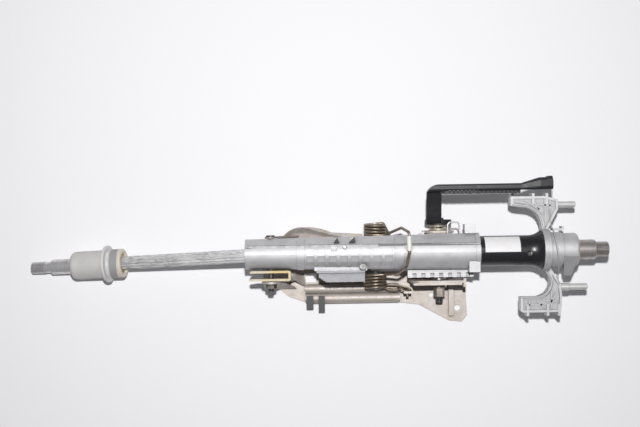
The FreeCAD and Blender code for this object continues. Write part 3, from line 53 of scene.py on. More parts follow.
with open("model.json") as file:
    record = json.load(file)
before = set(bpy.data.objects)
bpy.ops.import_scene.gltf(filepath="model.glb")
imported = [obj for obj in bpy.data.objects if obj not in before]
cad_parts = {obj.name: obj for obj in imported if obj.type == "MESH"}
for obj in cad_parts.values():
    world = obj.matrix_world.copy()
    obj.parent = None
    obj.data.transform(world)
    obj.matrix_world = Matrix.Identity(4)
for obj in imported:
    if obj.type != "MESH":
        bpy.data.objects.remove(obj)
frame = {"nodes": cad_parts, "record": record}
CAD_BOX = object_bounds()
MM = 0.001

# Measures of the solids that the fine parts lie on
AXIS_Z = 62.0 * MM
JACKET_RADIUS = 21.2 * MM
ARM_TOP = 68.0 * MM
PIN_PLACE = np.array([103.6, 8.8, 82.8]) * MM
WEB_RADIUS = 30.5 * MM
BORE_FLOOR_RADIUS = 22.5 * MM
HUB_CIRCLE = 33.0 * MM
PIVOT_TIP = 4.2 * MM
THREAD_GAPS = (0.2 * MM, 0.3 * MM)
LABEL_EDGES = (-2.4, 68.5)
SHARP_ANGLE = math.radians(40.0)

# Each bolt that has a thread, with the thread's name, body, radius and axis in X and Z
BOLTS = {
    "clamp_bolt": ("clamp_bolt_thread", "lever", 5.0 * MM, (239.0 * MM, 27.0 * MM)),
    "long_pivot_bolt": ("pivot_bolt_thread", "bracket", 4.0 * MM, (0.0, AXIS_Z)),
}

# Stage, and the corner tones of plastic: painted shade with a brown dirt tint on pale plastic, dust on
# dark plastic
SENSOR_WIDTH = 36.0
FLOOR_COLOUR = (0.885, 0.88, 0.90)
FLOOR_SHINE = 0.1
GLOW_COLOUR = (0.90, 0.90, 0.94)
SKY_COLOUR = (0.95, 0.96, 1.0)
PALE_SHADE_AND_DIRT = (0.16, 0.14, 0.11)
DARK_DIRT = (0.09, 0.085, 0.08)
LAMP_PLACE = (0.09, 0.275, 1.55)
LAMP_LEAN = math.radians(-9.5)
LAMP_SIZE = 0.05
FLOOR_HALF = 6.0
FLOOR_GLOW = 0.06

# Plan of the switch carrier's arms in millimetres. A deck and a bead each start with a hollow curve,
# given by its start, middle and end, and go on with straight stretches. A rib is one straight line.
ARMS = {
    "upper": {
        "deck": (((381.8, 28.0), (376.4, 50.6), (360.6, 63.4)),
                 ((339.4, 66.2), (339.4, 72.1), (382.2, 72.1), (398.6, 68.4), (398.6, 57.8),
                  (384.4, 28.0))),
        "bead": (((379.6, 26.0), (374.8, 48.6), (358.6, 60.6)), ((338.0, 63.4),)),
        "ribs": (((342.0, 69.0), (356.0, 66.2)), ((356.0, 71.0), (376.0, 57.0)),
                 ((366.0, 71.0), (381.0, 50.0)), ((384.0, 71.0), (384.0, 34.0)),
                 ((372.0, 64.0), (398.0, 62.0)), ((391.0, 70.0), (391.0, 50.0))),
    },
    "lower": {
        "deck": (((384.0, -27.6), (393.2, -46.4), (384.6, -64.0)),
                 ((373.6, -68.4), (351.4, -68.4), (351.4, -83.1), (400.8, -83.1), (402.4, -65.2),
                  (400.4, -47.6), (388.0, -27.6))),
        "bead": (((381.6, -26.0), (391.4, -46.2), (382.4, -61.6)), ((374.0, -65.6), (350.0, -65.6))),
        "ribs": (((360.0, -69.0), (360.0, -82.0)), ((370.0, -70.0), (384.0, -82.0)),
                 ((378.0, -69.0), (400.0, -72.0)), ((391.0, -56.0), (391.0, -82.0)),
                 ((384.0, -82.0), (398.0, -60.0)), ((352.0, -76.0), (378.0, -76.0))),
    },
}


# Settings


def colour(name, what, value):
    """A colour setting, given as the linear red, green and blue of the clean surface."""
    return bpy.props.FloatVectorProperty(
        name=name, description=what, subtype="COLOR", size=3, min=0.0, max=1.0, default=value
    )


def amount(name, what, value, **more):
    """A number setting, with its unit or subtype where it has one."""
    return bpy.props.FloatProperty(name=name, description=what, default=value, **more)


def length(name, what, value):
    """A length setting in metres."""
    return amount(name, what, value, unit="LENGTH", precision=5)


class FinishSettings(bpy.types.PropertyGroup):
    """Colours of the bare and coated surfaces."""

    zinc: colour("Zinc", "Plated sheet steel of the bracket", (0.55, 0.505, 0.475))
    yellow_zinc: colour("Yellow zinc", "Chromated yoke and cams", (0.46, 0.44, 0.39))
    dark_steel: colour("Dark steel", "Phosphated bolts", (0.10, 0.09, 0.085))
    spring: colour("Spring", "Oiled spring wire", (0.19, 0.155, 0.12))
    white_plastic: colour("White plastic", "Sleeve of the spring bridge, and guide bushes",
                          (0.82, 0.81, 0.77))
    black_plastic: colour("Black plastic", "Spools, clips and bushes", (0.024, 0.024, 0.026))
    cast_aluminium: colour("Cast aluminium", "Housing and switch carrier", (0.61, 0.605, 0.615))
    cast_zinc: colour("Cast zinc", "Lock case", (0.25, 0.25, 0.265))
    bright_steel: colour("Bright steel", "Washers, studs, bearings and wire", (0.62, 0.62, 0.61))
    black_paint: colour("Black paint", "Jacket tube and lever", (0.016, 0.016, 0.018))
    shaft_steel: colour("Shaft steel", "Turned shafts", (0.50, 0.465, 0.44))
    fluted_metal: colour("Fluted shaft", "Bright drawn shaft", (0.90, 0.895, 0.90))
    gold_insert: colour("Gold insert", "Toothed insert of the sleeve", (0.50, 0.35, 0.12))
    grey_plastic: colour("Grey plastic", "Sleeve that passes the bulkhead", (0.60, 0.585, 0.57))
    cream_plastic: colour("Cream plastic", "Nose ring of the sleeve", (0.70, 0.64, 0.55))
    label: colour("Label", "Blank label film on the jacket tube", (0.80, 0.80, 0.82))


class FinePartSettings(bpy.types.PropertyGroup):
    """Sizes of the thin and small parts."""

    label_start: length("Label start", "Near end of the label along the column", 0.2977)
    label_length: length("Label length", "Length of the label along the column", 0.0489)
    film: length("Film", "Thickness of the label film", 0.00008)
    rib: length("Rib radius", "Radius of the hub's rib, and half width of the decks' ribs", 0.0011)
    bead: length("Bead radius", "Radius of the bead along the carrier's inner edges", 0.0017)
    deck: length("Deck", "Thickness of the decks in the carrier's arms", 0.0016)
    deck_drop: length("Deck drop", "How far the decks lie below the arms' rims", 0.0015)
    link: length("Link radius", "Radius of the bar of the link round the spring's leg", 0.0011)
    pin: length("Pin radius", "Radius of the round pin on the housing", 0.0028)
    thread: length("Thread depth", "Depth of the bolts' threads", 0.00045)
    pitch: length("Pitch", "Pitch of the bolts' threads", 0.0011)
    wall: length("Sheet", "Thickness of the flared sheets", 0.0012)


class StageSettings(bpy.types.PropertyGroup):
    """Camera and light."""

    camera_x: length("Camera X", "Camera place along the column", 0.070)
    camera_y: length("Camera Y", "Camera place across the column", 0.0562)
    camera_height: length("Camera height", "Camera height above the mounting face", 1.5)
    camera_turn: amount("Camera turn", "Turn of the picture about the line of sight", math.radians(-0.92),
                        subtype="ANGLE")
    lens: amount("Lens", "Focal length on a sensor 36 mm wide", 57.77, subtype="DISTANCE_CAMERA")
    lamp_power: amount("Lamp power", "Power of the soft lamp", 24.0, unit="POWER")
    sky_level: amount("Sky level", "Level of the even light from all round", 0.10)
    backdrop: amount("Backdrop", "Level of the backdrop that the camera sees", 0.8)


# Shader building


def feed(tree, value, socket):
    """Links an input to another node's output, or else sets its plain value; a colour turns opaque."""
    if isinstance(value, bpy.types.NodeSocket):
        tree.links.new(value, socket)
    elif socket.type == "RGBA":
        socket.default_value = (*value, 1.0)
    else:
        socket.default_value = value


def add(tree, kind, **values):
    """Adds a node and feeds its inputs by name."""
    made = tree.nodes.new(kind)
    for name, value in values.items():
        feed(tree, value, made.inputs[name])
    return made


def maths(tree, operation, first, second, clamp=False):
    """A maths node on two sockets or numbers, and its output."""
    made = tree.nodes.new("ShaderNodeMath")
    made.operation = operation
    made.use_clamp = clamp
    feed(tree, first, made.inputs[0])
    feed(tree, second, made.inputs[1])
    return made.outputs[0]


def times(tree, first, second, clamp=False):
    """The product of two sockets or numbers."""
    return maths(tree, "MULTIPLY", first, second, clamp)


def blend_colour(tree, share, under, over):
    """Colour that goes from under to over by a share; a mix node keeps its colours at these numbers."""
    made = tree.nodes.new("ShaderNodeMix")
    made.data_type = "RGBA"
    for number, value in ((0, share), (6, under), (7, over)):
        feed(tree, value, made.inputs[number])
    return made.outputs[2]


def layered(tree, base, *layers):
    """The colour after each layer, a share and a colour, is laid over those before it."""
    for share, tone in layers:
        base = blend_colour(tree, share, base, tone)
    return base


def toned(value, share, lift=0.0):
    """The colour times a share, plus a lift, and never over one."""
    return tuple(min(1.0, share * part + lift) for part in value)


def level(tree, source, low, high, to_low=0.0, to_high=1.0):
    """A value's range mapped to another one and held at its ends."""
    ends = {"From Min": low, "From Max": high, "To Min": to_low, "To Max": to_high}
    made = add(tree, "ShaderNodeMapRange", Value=source, **ends)
    made.clamp = True
    return made.outputs[0]


def new_group(name, inputs, *outputs):
    """An empty shader group with float inputs and their defaults, and float outputs."""
    group = bpy.data.node_groups.new(name, "ShaderNodeTree")
    for label, value in inputs.items():
        socket = group.interface.new_socket(name=label, in_out="INPUT", socket_type="NodeSocketFloat")
        socket.default_value = value
    for label in outputs:
        group.interface.new_socket(name=label, in_out="OUTPUT", socket_type="NodeSocketFloat")
    return group, group.nodes.new("NodeGroupInput").outputs, group.nodes.new("NodeGroupOutput").inputs


def object_place(tree):
    """The surface point in the piece's own coordinates, which are the frame's."""
    return tree.nodes.new("ShaderNodeTexCoord").outputs["Object"]


def scaled_noise(tree, place, scale, detail=3.0, roughness=0.55):
    """Noise value on a place, with a scale given as a socket or a number in cells per metre."""
    made = add(tree, "ShaderNodeTexNoise", Vector=place, Scale=scale, Detail=detail, Roughness=roughness)
    return made.outputs["Fac"]


def patches(tree, place, scale, low, high, detail=3.0):
    """Patches: noise that is nought up to the low level and one from the high level on."""
    return level(tree, scaled_noise(tree, place, scale, detail), low, high)


def stretched(tree, place, scale, rotation=(0.0, 0.0, 0.0)):
    """The place turned and scaled; noise on it runs long along the axis whose scale is small."""
    return add(tree, "ShaderNodeMapping", Vector=place, Scale=scale, Rotation=rotation).outputs[0]


def make_edge_wear():
    """Mask of worn edges: how far the rounded normal turns from the face's own one, broken up by noise."""
    group, given, out = new_group("edge_wear", {"Radius": 0.0006, "Amount": 1.0, "Breakup": 400.0}, "Mask")
    rounded = add(group, "ShaderNodeBevel", Radius=given["Radius"])
    rounded.samples = 6
    facing = group.nodes.new("ShaderNodeNewGeometry")
    dot = group.nodes.new("ShaderNodeVectorMath")
    dot.operation = "DOT_PRODUCT"
    feed(group, rounded.outputs[0], dot.inputs[0])
    feed(group, facing.outputs["Normal"], dot.inputs[1])
    turned = level(group, dot.outputs["Value"], 0.985, 0.86)
    broken = patches(group, object_place(group), given["Breakup"], 0.36, 0.62)
    feed(group, times(group, times(group, turned, broken), given["Amount"], clamp=True), out["Mask"])
    return group


def make_corner_shade_and_grime():
    """Mask of the corners, for painted shade and dirt: the share of the near sky that is closed, mottled
    by noise.
    """
    group, given, out = new_group("corner_shade_and_grime", {"Distance": 0.004, "Amount": 1.0, "Mottle": 160.0}, "Mask")
    shade = add(group, "ShaderNodeAmbientOcclusion", Distance=given["Distance"])
    shade.samples = 6
    closed = level(group, shade.outputs["AO"], 0.95, 0.35)
    mottled = level(group, scaled_noise(group, object_place(group), given["Mottle"]), 0.2, 0.65, 0.35, 1.0)
    feed(group, times(group, times(group, closed, mottled), given["Amount"], clamp=True), out["Mask"])
    return group


def make_cast_grain():
    """Sand-like grain of a casting: fine and coarse noise added, with small pits, and a slow mottle."""
    group, given, out = new_group("cast_grain", {"Grain": 1700.0, "Mottle": 90.0, "Pits": 1.0},
                                  "Height", "Mottle")
    place = object_place(group)
    fine = scaled_noise(group, place, given["Grain"], detail=4.0, roughness=0.65)
    coarse = scaled_noise(group, place, times(group, given["Grain"], 0.27))
    cells = add(group, "ShaderNodeTexVoronoi", Vector=place, Scale=times(group, given["Grain"], 0.16))
    pits = times(group, level(group, cells.outputs["Distance"], 0.10, 0.02), given["Pits"])
    grain = maths(group, "ADD", times(group, fine, 0.6), times(group, coarse, 0.4))
    feed(group, maths(group, "SUBTRACT", grain, pits), out["Height"])
    feed(group, patches(group, place, given["Mottle"], 0.3, 0.7), out["Mottle"])
    return group


def make_scratches():
    """Fine scratches in two directions: noise stretched along each, kept where it is highest."""
    group, given, out = new_group("scratches", {"Scale": 900.0, "Amount": 1.0}, "Mask")
    place = object_place(group)
    found = []
    for turn, stretch in ((0.35, 0.035), (-0.9, 0.05)):
        along = stretched(group, place, (stretch, 1.0, 1.0), rotation=(0.2, 0.1, turn))
        found.append(patches(group, along, given["Scale"], 0.66, 0.74, detail=2.0))
    both = maths(group, "MAXIMUM", *found)
    feed(group, times(group, both, given["Amount"], clamp=True), out["Mask"])
    return group


def make_turning():
    """Rings left by turning or drawing: noise that changes along X and hardly at all round it."""
    group, given, out = new_group("turning", {"Rings": 2500.0}, "Height")
    along = stretched(group, object_place(group), (1.0, 0.02, 0.02))
    feed(group, scaled_noise(group, along, given["Rings"]), out["Height"])
    return group


GROUP_MAKERS = {
    "edge_wear": make_edge_wear,
    "corner_shade_and_grime": make_corner_shade_and_grime,
    "cast_grain": make_cast_grain,
    "scratches": make_scratches,
    "turning": make_turning,
}


def effect(tree, name, **values):
    """Places one of the shared effects in a material and sets its inputs."""
    made = tree.nodes.new("ShaderNodeGroup")
    made.node_tree = bpy.data.node_groups.get(name) or GROUP_MAKERS[name]()
    for key, value in values.items():
        feed(tree, value, made.inputs[key])
    return made.outputs


def worn_edges(tree, radius, strength):
    """Mask of the edges that are worn within a radius."""
    return effect(tree, "edge_wear", Radius=radius, Amount=strength)["Mask"]


def corner_dirt_and_shade(tree, reach, strength):
    """Mask of the corners, up to a reach from them, for painted shade and dirt."""
    return effect(tree, "corner_shade_and_grime", Distance=reach, Amount=strength)["Mask"]


def new_finish(name, metallic, roughness):
    """A material and its nodes, with the Principled shader's plain values set."""
    made = bpy.data.materials.new(name)
    made.use_nodes = True
    shader = made.node_tree.nodes["Principled BSDF"]
    shader.inputs["Metallic"].default_value = metallic
    shader.inputs["Roughness"].default_value = roughness
    return made, made.node_tree


def finished(made, base, rough, height, depth):
    """Feeds the colour, the roughness and a relief of this depth in metres to the shader."""
    tree = made.node_tree
    bump = add(tree, "ShaderNodeBump", Height=height, Distance=depth, Strength=1.0)
    shader = tree.nodes["Principled BSDF"]
    for name, source in (("Base Color", base), ("Roughness", rough), ("Normal", bump.outputs[0])):
        feed(tree, source, shader.inputs[name])
    return made


def cast_metal(name, clean, grain=1700.0, depth=0.06 * MM, roughness=0.58, wear=0.8):
    """Cast metal: grain and pits, slow mottle, painted shade in the corners, bright rubbed edges."""
    made, tree = new_finish(name, 0.5, roughness)
    cast = effect(tree, "cast_grain", Grain=grain)
    worn = worn_edges(tree, 0.5 * MM, wear)
    dirt_and_shade = corner_dirt_and_shade(tree, 6.0 * MM, 1.0)
    base = layered(tree, clean, (cast["Mottle"], toned(clean, 0.86)), (dirt_and_shade, toned(clean, 0.32)),
                   (worn, toned(clean, 1.25)))
    uneven = level(tree, cast["Height"], 0.3, 0.7, roughness - 0.07, roughness + 0.1)
    rough = maths(tree, "SUBTRACT", uneven, times(tree, worn, 0.15))
    return finished(made, base, rough, cast["Height"], depth)


def plated_sheet(name, clean, tint):
    """Plated steel: two slow tints, fine scratches, painted shade in the corners and worn edges."""
    made, tree = new_finish(name, 0.45, 0.6)
    place = object_place(tree)
    slow = patches(tree, place, 45.0, 0.35, 0.68, detail=4.0)
    spots = patches(tree, place, 520.0, 0.5, 0.72)
    scratched = effect(tree, "scratches", Scale=1100.0)["Mask"]
    worn = worn_edges(tree, 0.5 * MM, 0.7)
    dirt_and_shade = corner_dirt_and_shade(tree, 5.0 * MM, 0.75)
    base = layered(tree, clean, (slow, tint), (times(tree, spots, 0.25), toned(clean, 0.6)),
                   (times(tree, scratched, 0.45), (0.80, 0.79, 0.76)), (dirt_and_shade, toned(clean, 0.35)),
                   (worn, (0.78, 0.77, 0.75)))
    rough = maths(tree, "ADD", level(tree, spots, 0.0, 1.0, 0.55, 0.72), times(tree, scratched, -0.1))
    height = maths(tree, "SUBTRACT", scaled_noise(tree, place, 1500.0), times(tree, scratched, 0.8))
    return finished(made, base, rough, height, 0.02 * MM)


def turned_metal(name, clean, metallic, roughness, rings=2500.0, stain=0.8, tint=None):
    """Turned or drawn steel: rings along X, darker or tinted stains, painted shade in the corners, worn
    edges.
    """
    made, tree = new_finish(name, metallic, roughness)
    ringed = effect(tree, "turning", Rings=rings)["Height"]
    stained = patches(tree, object_place(tree), 140.0, 0.42, 0.7, detail=4.0)
    dirt_and_shade = corner_dirt_and_shade(tree, 3.0 * MM, 0.9)
    worn = worn_edges(tree, 0.4 * MM, 0.8)
    base = layered(tree, toned(clean, 0.82), (level(tree, ringed, 0.35, 0.7), toned(clean, 1.12)),
                   (times(tree, stained, stain), tint or toned(clean, 0.66)), (dirt_and_shade, toned(clean, 0.25)),
                   (worn, toned(clean, 1.5)))
    rough = level(tree, stained, 0.0, 1.0, roughness - 0.06, roughness + 0.12)
    return finished(made, base, rough, ringed, 0.02 * MM)


def drawn_metal(name, clean):
    """Drawn bar: long bright and dark streaks along X, fine pits, painted shade low in the flutes."""
    made, tree = new_finish(name, 0.3, 0.3)
    place = object_place(tree)
    streaks = patches(tree, stretched(tree, place, (0.015, 1.0, 1.0)), 900.0, 0.36, 0.62)
    slow = patches(tree, place, 22.0, 0.4, 0.66, detail=2.0)
    pits = patches(tree, place, 1600.0, 0.6, 0.75)
    dirt_and_shade = corner_dirt_and_shade(tree, 1.6 * MM, 0.8)
    worn = worn_edges(tree, 0.3 * MM, 0.8)
    base = layered(tree, clean, (streaks, toned(clean, 0.34)), (times(tree, slow, 0.5), clean),
                   (times(tree, pits, 0.3), toned(clean, 0.4)), (dirt_and_shade, toned(clean, 0.16)), (worn, clean))
    return finished(made, base, level(tree, streaks, 0.0, 1.0, 0.24, 0.44), streaks, 0.03 * MM)


def moulded(name, clean, roughness, dust=0.35, lower=None, edge=0.0):
    """Moulded plastic: fine grain, a corner tone that is painted shade with a brown dirt tint on pale
    plastic and light dust on dark plastic, edges rubbed smooth.
    A second colour, where one is given, covers the part below an edge along X."""
    made, tree = new_finish(name, 0.0, roughness)
    place = object_place(tree)
    fine = scaled_noise(tree, place, 1400.0)
    slow = patches(tree, place, 60.0, 0.3, 0.7)
    dirt_and_shade = corner_dirt_and_shade(tree, 4.0 * MM, dust)
    worn = worn_edges(tree, 0.5 * MM, 0.5)
    dust_and_shade_tone = PALE_SHADE_AND_DIRT if sum(clean) > 0.6 else DARK_DIRT
    base = blend_colour(tree, slow, clean, toned(clean, 0.88))
    if lower:
        along = add(tree, "ShaderNodeSeparateXYZ", Vector=place)
        above = level(tree, along.outputs["X"], edge - 0.1 * MM, edge + 0.1 * MM)
        base = blend_colour(tree, above, lower, base)
    # The corner tone, in the amount that dust gives, is painted shade with a brown dirt tint on pale
    # plastic and light dust on dark plastic.
    base = layered(tree, base, (dirt_and_shade, dust_and_shade_tone), (times(tree, worn, 0.5), toned(clean, 1.2, lift=0.03)))
    rough = level(tree, fine, 0.3, 0.7, roughness - 0.06, roughness + 0.08)
    return finished(made, base, rough, fine, 0.02 * MM)


def painted(name, clean, roughness=0.3):
    """Black coat: faint ripple, dust specks, fine scratches and bare metal on sharp edges."""
    made, tree = new_finish(name, 0.0, roughness)
    place = object_place(tree)
    ripple = scaled_noise(tree, place, 420.0, detail=2.0)
    specks = patches(tree, place, 1900.0, 0.66, 0.76, detail=2.0)
    scratched = effect(tree, "scratches", Scale=800.0)["Mask"]
    worn = worn_edges(tree, 0.4 * MM, 0.5)
    dirt_and_shade = corner_dirt_and_shade(tree, 5.0 * MM, 0.5)
    base = layered(tree, clean, (times(tree, specks, 0.35), (0.12, 0.115, 0.11)),
                   (dirt_and_shade, (0.045, 0.042, 0.04)), (times(tree, scratched, 0.3), (0.14, 0.14, 0.14)),
                   (worn, (0.22, 0.21, 0.20)))
    rough = maths(tree, "ADD", level(tree, ripple, 0.3, 0.7, roughness - 0.05, roughness + 0.07),
                  times(tree, maths(tree, "MAXIMUM", scratched, specks), 0.2))
    return finished(made, base, rough, ripple, 0.03 * MM)


def spring_wire(name, clean):
    """Oiled spring wire: bronze tint that changes along the wire, fine dark grain, painted shade in the
    corners.
    """
    made, tree = new_finish(name, 0.75, 0.42)
    place = object_place(tree)
    slow = patches(tree, place, 160.0, 0.35, 0.68, detail=4.0)
    fine = scaled_noise(tree, place, 2200.0)
    dirt_and_shade = corner_dirt_and_shade(tree, 3.0 * MM, 0.9)
    grained = level(tree, fine, 0.55, 0.75, 0.0, 0.5)
    base = layered(tree, clean, (slow, toned(clean, 1.9)), (grained, toned(clean, 0.5)),
                   (dirt_and_shade, toned(clean, 0.2)))
    return finished(made, base, level(tree, fine, 0.3, 0.7, 0.34, 0.52), fine, 0.03 * MM)


def satin_film(name, clean):
    """Blank film: satin face, faint yellowing in slow patches, dust specks and a greyer rubbed edge."""
    made, tree = new_finish(name, 0.0, 0.42)
    place = object_place(tree)
    slow = patches(tree, place, 130.0, 0.35, 0.7)
    specks = patches(tree, place, 2600.0, 0.64, 0.76, detail=2.0)
    worn = worn_edges(tree, 0.4 * MM, 0.6)
    yellowed = tuple(part * tone for part, tone in zip(clean, (0.97, 0.95, 0.90)))
    base = layered(tree, clean, (slow, yellowed), (times(tree, specks, 0.4), toned(clean, 0.6)),
                   (worn, toned(clean, 0.7)))
    rough = level(tree, slow, 0.0, 1.0, 0.36, 0.5)
    return finished(made, base, rough, scaled_noise(tree, place, 900.0), 0.008 * MM)


def slot_finishes(look):
    """The finish of each material slot of the record."""
    return {
        "zinc_steel": plated_sheet("plated_sheet", look.zinc, (0.46, 0.405, 0.36)),
        "yellow_zinc": plated_sheet("yellow_plate", look.yellow_zinc, (0.48, 0.35, 0.13)),
        "dark_steel": turned_metal("dark_steel", look.dark_steel, 0.6, 0.42),
        "spring_steel": spring_wire("spring_wire", look.spring),
        "white_plastic": moulded("white_plastic", look.white_plastic, 0.4),
        "black_plastic": moulded("black_plastic", look.black_plastic, 0.42),
        "cast_aluminium": cast_metal("cast_aluminium", look.cast_aluminium),
        "cast_zinc": cast_metal("cast_zinc", look.cast_zinc, grain=2100.0, depth=0.04 * MM, roughness=0.5),
        "bright_steel": turned_metal("bright_steel", look.bright_steel, 0.85, 0.32, stain=0.35),
        "black_steel": painted("black_paint", look.black_paint),
        "shaft_steel": turned_metal("shaft_steel", look.shaft_steel, 0.75, 0.42),
        "fluted_metal": drawn_metal("drawn_shaft", look.fluted_metal),
        "gold_insert": turned_metal("gold_insert", look.gold_insert, 0.7, 0.4, stain=0.4),
        "grey_plastic": moulded("grey_plastic", look.grey_plastic, 0.5, dust=0.6),
        "cream_plastic": moulded("cream_plastic", look.cream_plastic, 0.5, dust=0.6,
                                 lower=(0.33, 0.33, 0.345), edge=-219.0 * MM),
    }


def own_finishes(look):
    """Finishes of the solids that don't look like the rest of their slot, by the solid's name."""
    stud = turned_metal("stud_steel", toned(look.bright_steel, 1.1), 0.4, 0.5, stain=0.3)
    return {
        "clamp_lever": painted("satin_black", look.black_paint, roughness=0.48),
        # Painted shade: the arch's sheet is a darker copy of the plated sheet, with a darker tint.
        "bracket_arch": plated_sheet("shaded_arch_sheet", toned(look.zinc, 0.62), (0.27, 0.215, 0.185)),
        "spring_perches": plated_sheet("perch_sheet", (0.68, 0.675, 0.67), (0.58, 0.57, 0.56)),
        "clamp_nut": turned_metal("nut_steel", (0.34, 0.30, 0.27), 0.75, 0.34),
        "case_screw": turned_metal("screw_steel", toned(look.bright_steel, 0.5), 0.45, 0.5),
        "upper_stud": stud,
        "lower_stud": stud,
        "lower_tube": turned_metal("lower_end_steel", (0.74, 0.745, 0.77), 0.6, 0.34, rings=900.0,
                                   stain=0.5, tint=(0.50, 0.39, 0.32)),
        "seal_flange": moulded("seal_plastic", (0.72, 0.71, 0.70), 0.5, dust=0.6),
    }


# Surfaces


def placed(name, data):
    """An object with this data, linked to the scene."""
    made = bpy.data.objects.new(name, data)
    bpy.context.scene.collection.objects.link(made)
    return made


def grid_faces(rows, columns, close_rows=False, close_columns=False):
    """Quads of a grid of points counted row by row, joined round where a direction is closed."""
    row = np.arange(rows if close_rows else rows - 1)
    column = np.arange(columns if close_columns else columns - 1)
    first, second = np.meshgrid(row, column, indexing="ij")
    after_row, after_column = (first + 1) % rows, (second + 1) % columns
    corners = (first * columns + second, first * columns + after_column,
               after_row * columns + after_column, after_row * columns + second)
    return np.stack(corners, axis=-1).reshape(-1, 4)


def tube_faces(rings, steps):
    """Faces of a tube of rings, closed by a flat face at each end."""
    end = np.arange(steps)[None, :]
    return [grid_faces(rings, steps, close_columns=True), end[:, ::-1], end + (rings - 1) * steps]


def wall_faces(rim, lift):
    """Quads between a closed rim of point numbers and the same rim counted on by lift."""
    after = np.roll(rim, -1)
    return np.column_stack([rim, after, after + lift, rim + lift])


def angles(steps):
    """Even angles round a full turn."""
    return np.linspace(0.0, 2.0 * np.pi, steps, endpoint=False)


def spread(first, second):
    """Two even ranges, each given as its start, end and count, laid out as a grid."""
    return np.meshgrid(np.linspace(*first), np.linspace(*second), indexing="ij")


def new_piece(name, points, faces, body, finish, slot_name=None, smooth=True):
    """A mesh piece from points and arrays of faces, with its finish and the body that it rides on.
    The slot's name, given where the record has a slot for it, is not used."""
    mesh = bpy.data.meshes.new(name)
    mesh.from_pydata(points.tolist(), [], [face for part in faces for face in part.tolist()])
    solid = bmesh.new()
    solid.from_mesh(mesh)
    bmesh.ops.recalc_face_normals(solid, faces=solid.faces)
    solid.to_mesh(mesh)
    solid.free()
    if smooth:
        mesh.shade_smooth()
        mesh.set_sharp_from_angle(angle=SHARP_ANGLE)
    mesh.materials.append(finish)
    piece = placed(name, mesh)
    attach(piece, body)
    return piece


def turned_form(profile, centre, steps=64):
    """A round form about Z from a profile of (height, radius): each height keeps its radius at every
    angle, and a radius of nought at each end closes the form in one point."""
    height, radius = profile.T
    turn = angles(steps)
    outward = np.column_stack([np.cos(turn), np.sin(turn), 0.0 * turn])
    upward = np.array([0.0, 0.0, 1.0])
    rings = height[1:-1, None, None] * upward + radius[1:-1, None, None] * outward
    points = np.concatenate([rings.reshape(-1, 3), height[[0, -1], None] * upward]) + centre
    count = len(height) - 2
    step = np.arange(steps)
    after = (step + 1) % steps
    first_pole, last_ring = count * steps, (count - 1) * steps
    fans = [np.column_stack([np.full(steps, first_pole), after, step]),
            np.column_stack([np.full(steps, first_pole + 1), last_ring + step, last_ring + after])]
    return points, [grid_faces(count, steps, close_columns=True), *fans]


def sheet_form(top, down):
    """A closed sheet: a grid of points, the same grid moved by down, and a wall round their edges."""
    rows, columns = top.shape[:2]
    points = np.concatenate([top.reshape(-1, 3), (top + down).reshape(-1, 3)])
    index = np.arange(rows * columns).reshape(rows, columns)
    rim = np.concatenate([index[0], index[1:, -1], index[-1, -2::-1], index[-2:0:-1, 0]])
    faces = grid_faces(rows, columns)
    return points, [faces, faces[:, ::-1] + rows * columns, wall_faces(rim, rows * columns)]


def plate_form(outline, low, high):
    """A flat plate: a plan outline at two heights, closed by its two faces and by a wall."""
    count = len(outline)
    points = np.concatenate([np.column_stack([outline, np.full(count, z)]) for z in (low, high)])
    rim = np.arange(count)
    return points, [rim[None, ::-1], rim[None, :] + count, wall_faces(rim, count)]


def wire_form(path, radius, steps=16):
    """A round bar along a path: at each point a circle across the path's direction, with flat ends.
    A fixed direction that no path here runs along starts every circle on the same side."""
    guide = (1.0, 0.0, 0.3)
    way = np.gradient(path, axis=0)
    way /= np.linalg.norm(way, axis=1, keepdims=True)
    side = np.cross(way, guide)
    side /= np.linalg.norm(side, axis=1, keepdims=True)
    up = np.cross(side, way)
    turn = angles(steps)[None, :, None]
    ring = np.cos(turn) * side[:, None, :] + np.sin(turn) * up[:, None, :]
    return (path[:, None, :] + radius * ring).reshape(-1, 3), tube_faces(len(path), steps)


def joined(forms):
    """One form from several: the points in a row, each form's faces moved on by the points before it."""
    points, faces, count = [], [], 0
    for part_points, part_faces in forms:
        points.append(part_points)
        faces.extend(part + count for part in part_faces)
        count += len(part_points)
    return np.concatenate(points), faces


# Fine parts


def node_box(name):
    """Lowest and highest corner of a solid of the frame, as two arrays."""
    corners = np.array([tuple(corner) for corner in frame["nodes"][name].bound_box])
    return corners.min(axis=0), corners.max(axis=0)


def through(start, middle, end, count=24):
    """Points of the curve of second degree that passes through three points at nought, a half and one."""
    t = np.linspace(0.0, 1.0, count)[:, None]
    start, middle, end = np.array([start, middle, end])
    return start * (1 - t) * (1 - 2 * t) + middle * 4 * t * (1 - t) + end * t * (2 * t - 1)


def crown_patch(along, across, radius, thickness):
    """A closed strip of a cylinder about the column, from ranges of X and Y with their counts: Z is the
    axis plus the circle's height at that Y."""
    x, y = spread(along, across)
    top = np.stack([x * MM, y * MM, AXIS_Z + np.sqrt(radius ** 2 - (y * MM) ** 2)], axis=-1)
    return sheet_form(top, np.array([0.0, 0.0, -thickness]))


def label_film(size):
    """Blank label film: a patch of a cylinder about the column, just outside the jacket tube.
    Place: the outer radius is the tube's plus one and a half times the film's thickness, and the angle
    goes evenly from edge to edge."""
    radius = JACKET_RADIUS + 1.5 * size.film
    label_end = size.label_start + size.label_length
    along, turn = spread((size.label_start, label_end, 40), (*np.radians(LABEL_EDGES), 60))
    outward = np.stack([0 * turn, np.sin(turn), np.cos(turn)], axis=-1)
    top = np.stack([along, 0 * turn, AXIS_Z + 0 * turn], axis=-1) + radius * outward
    return sheet_form(top, -size.film * outward)


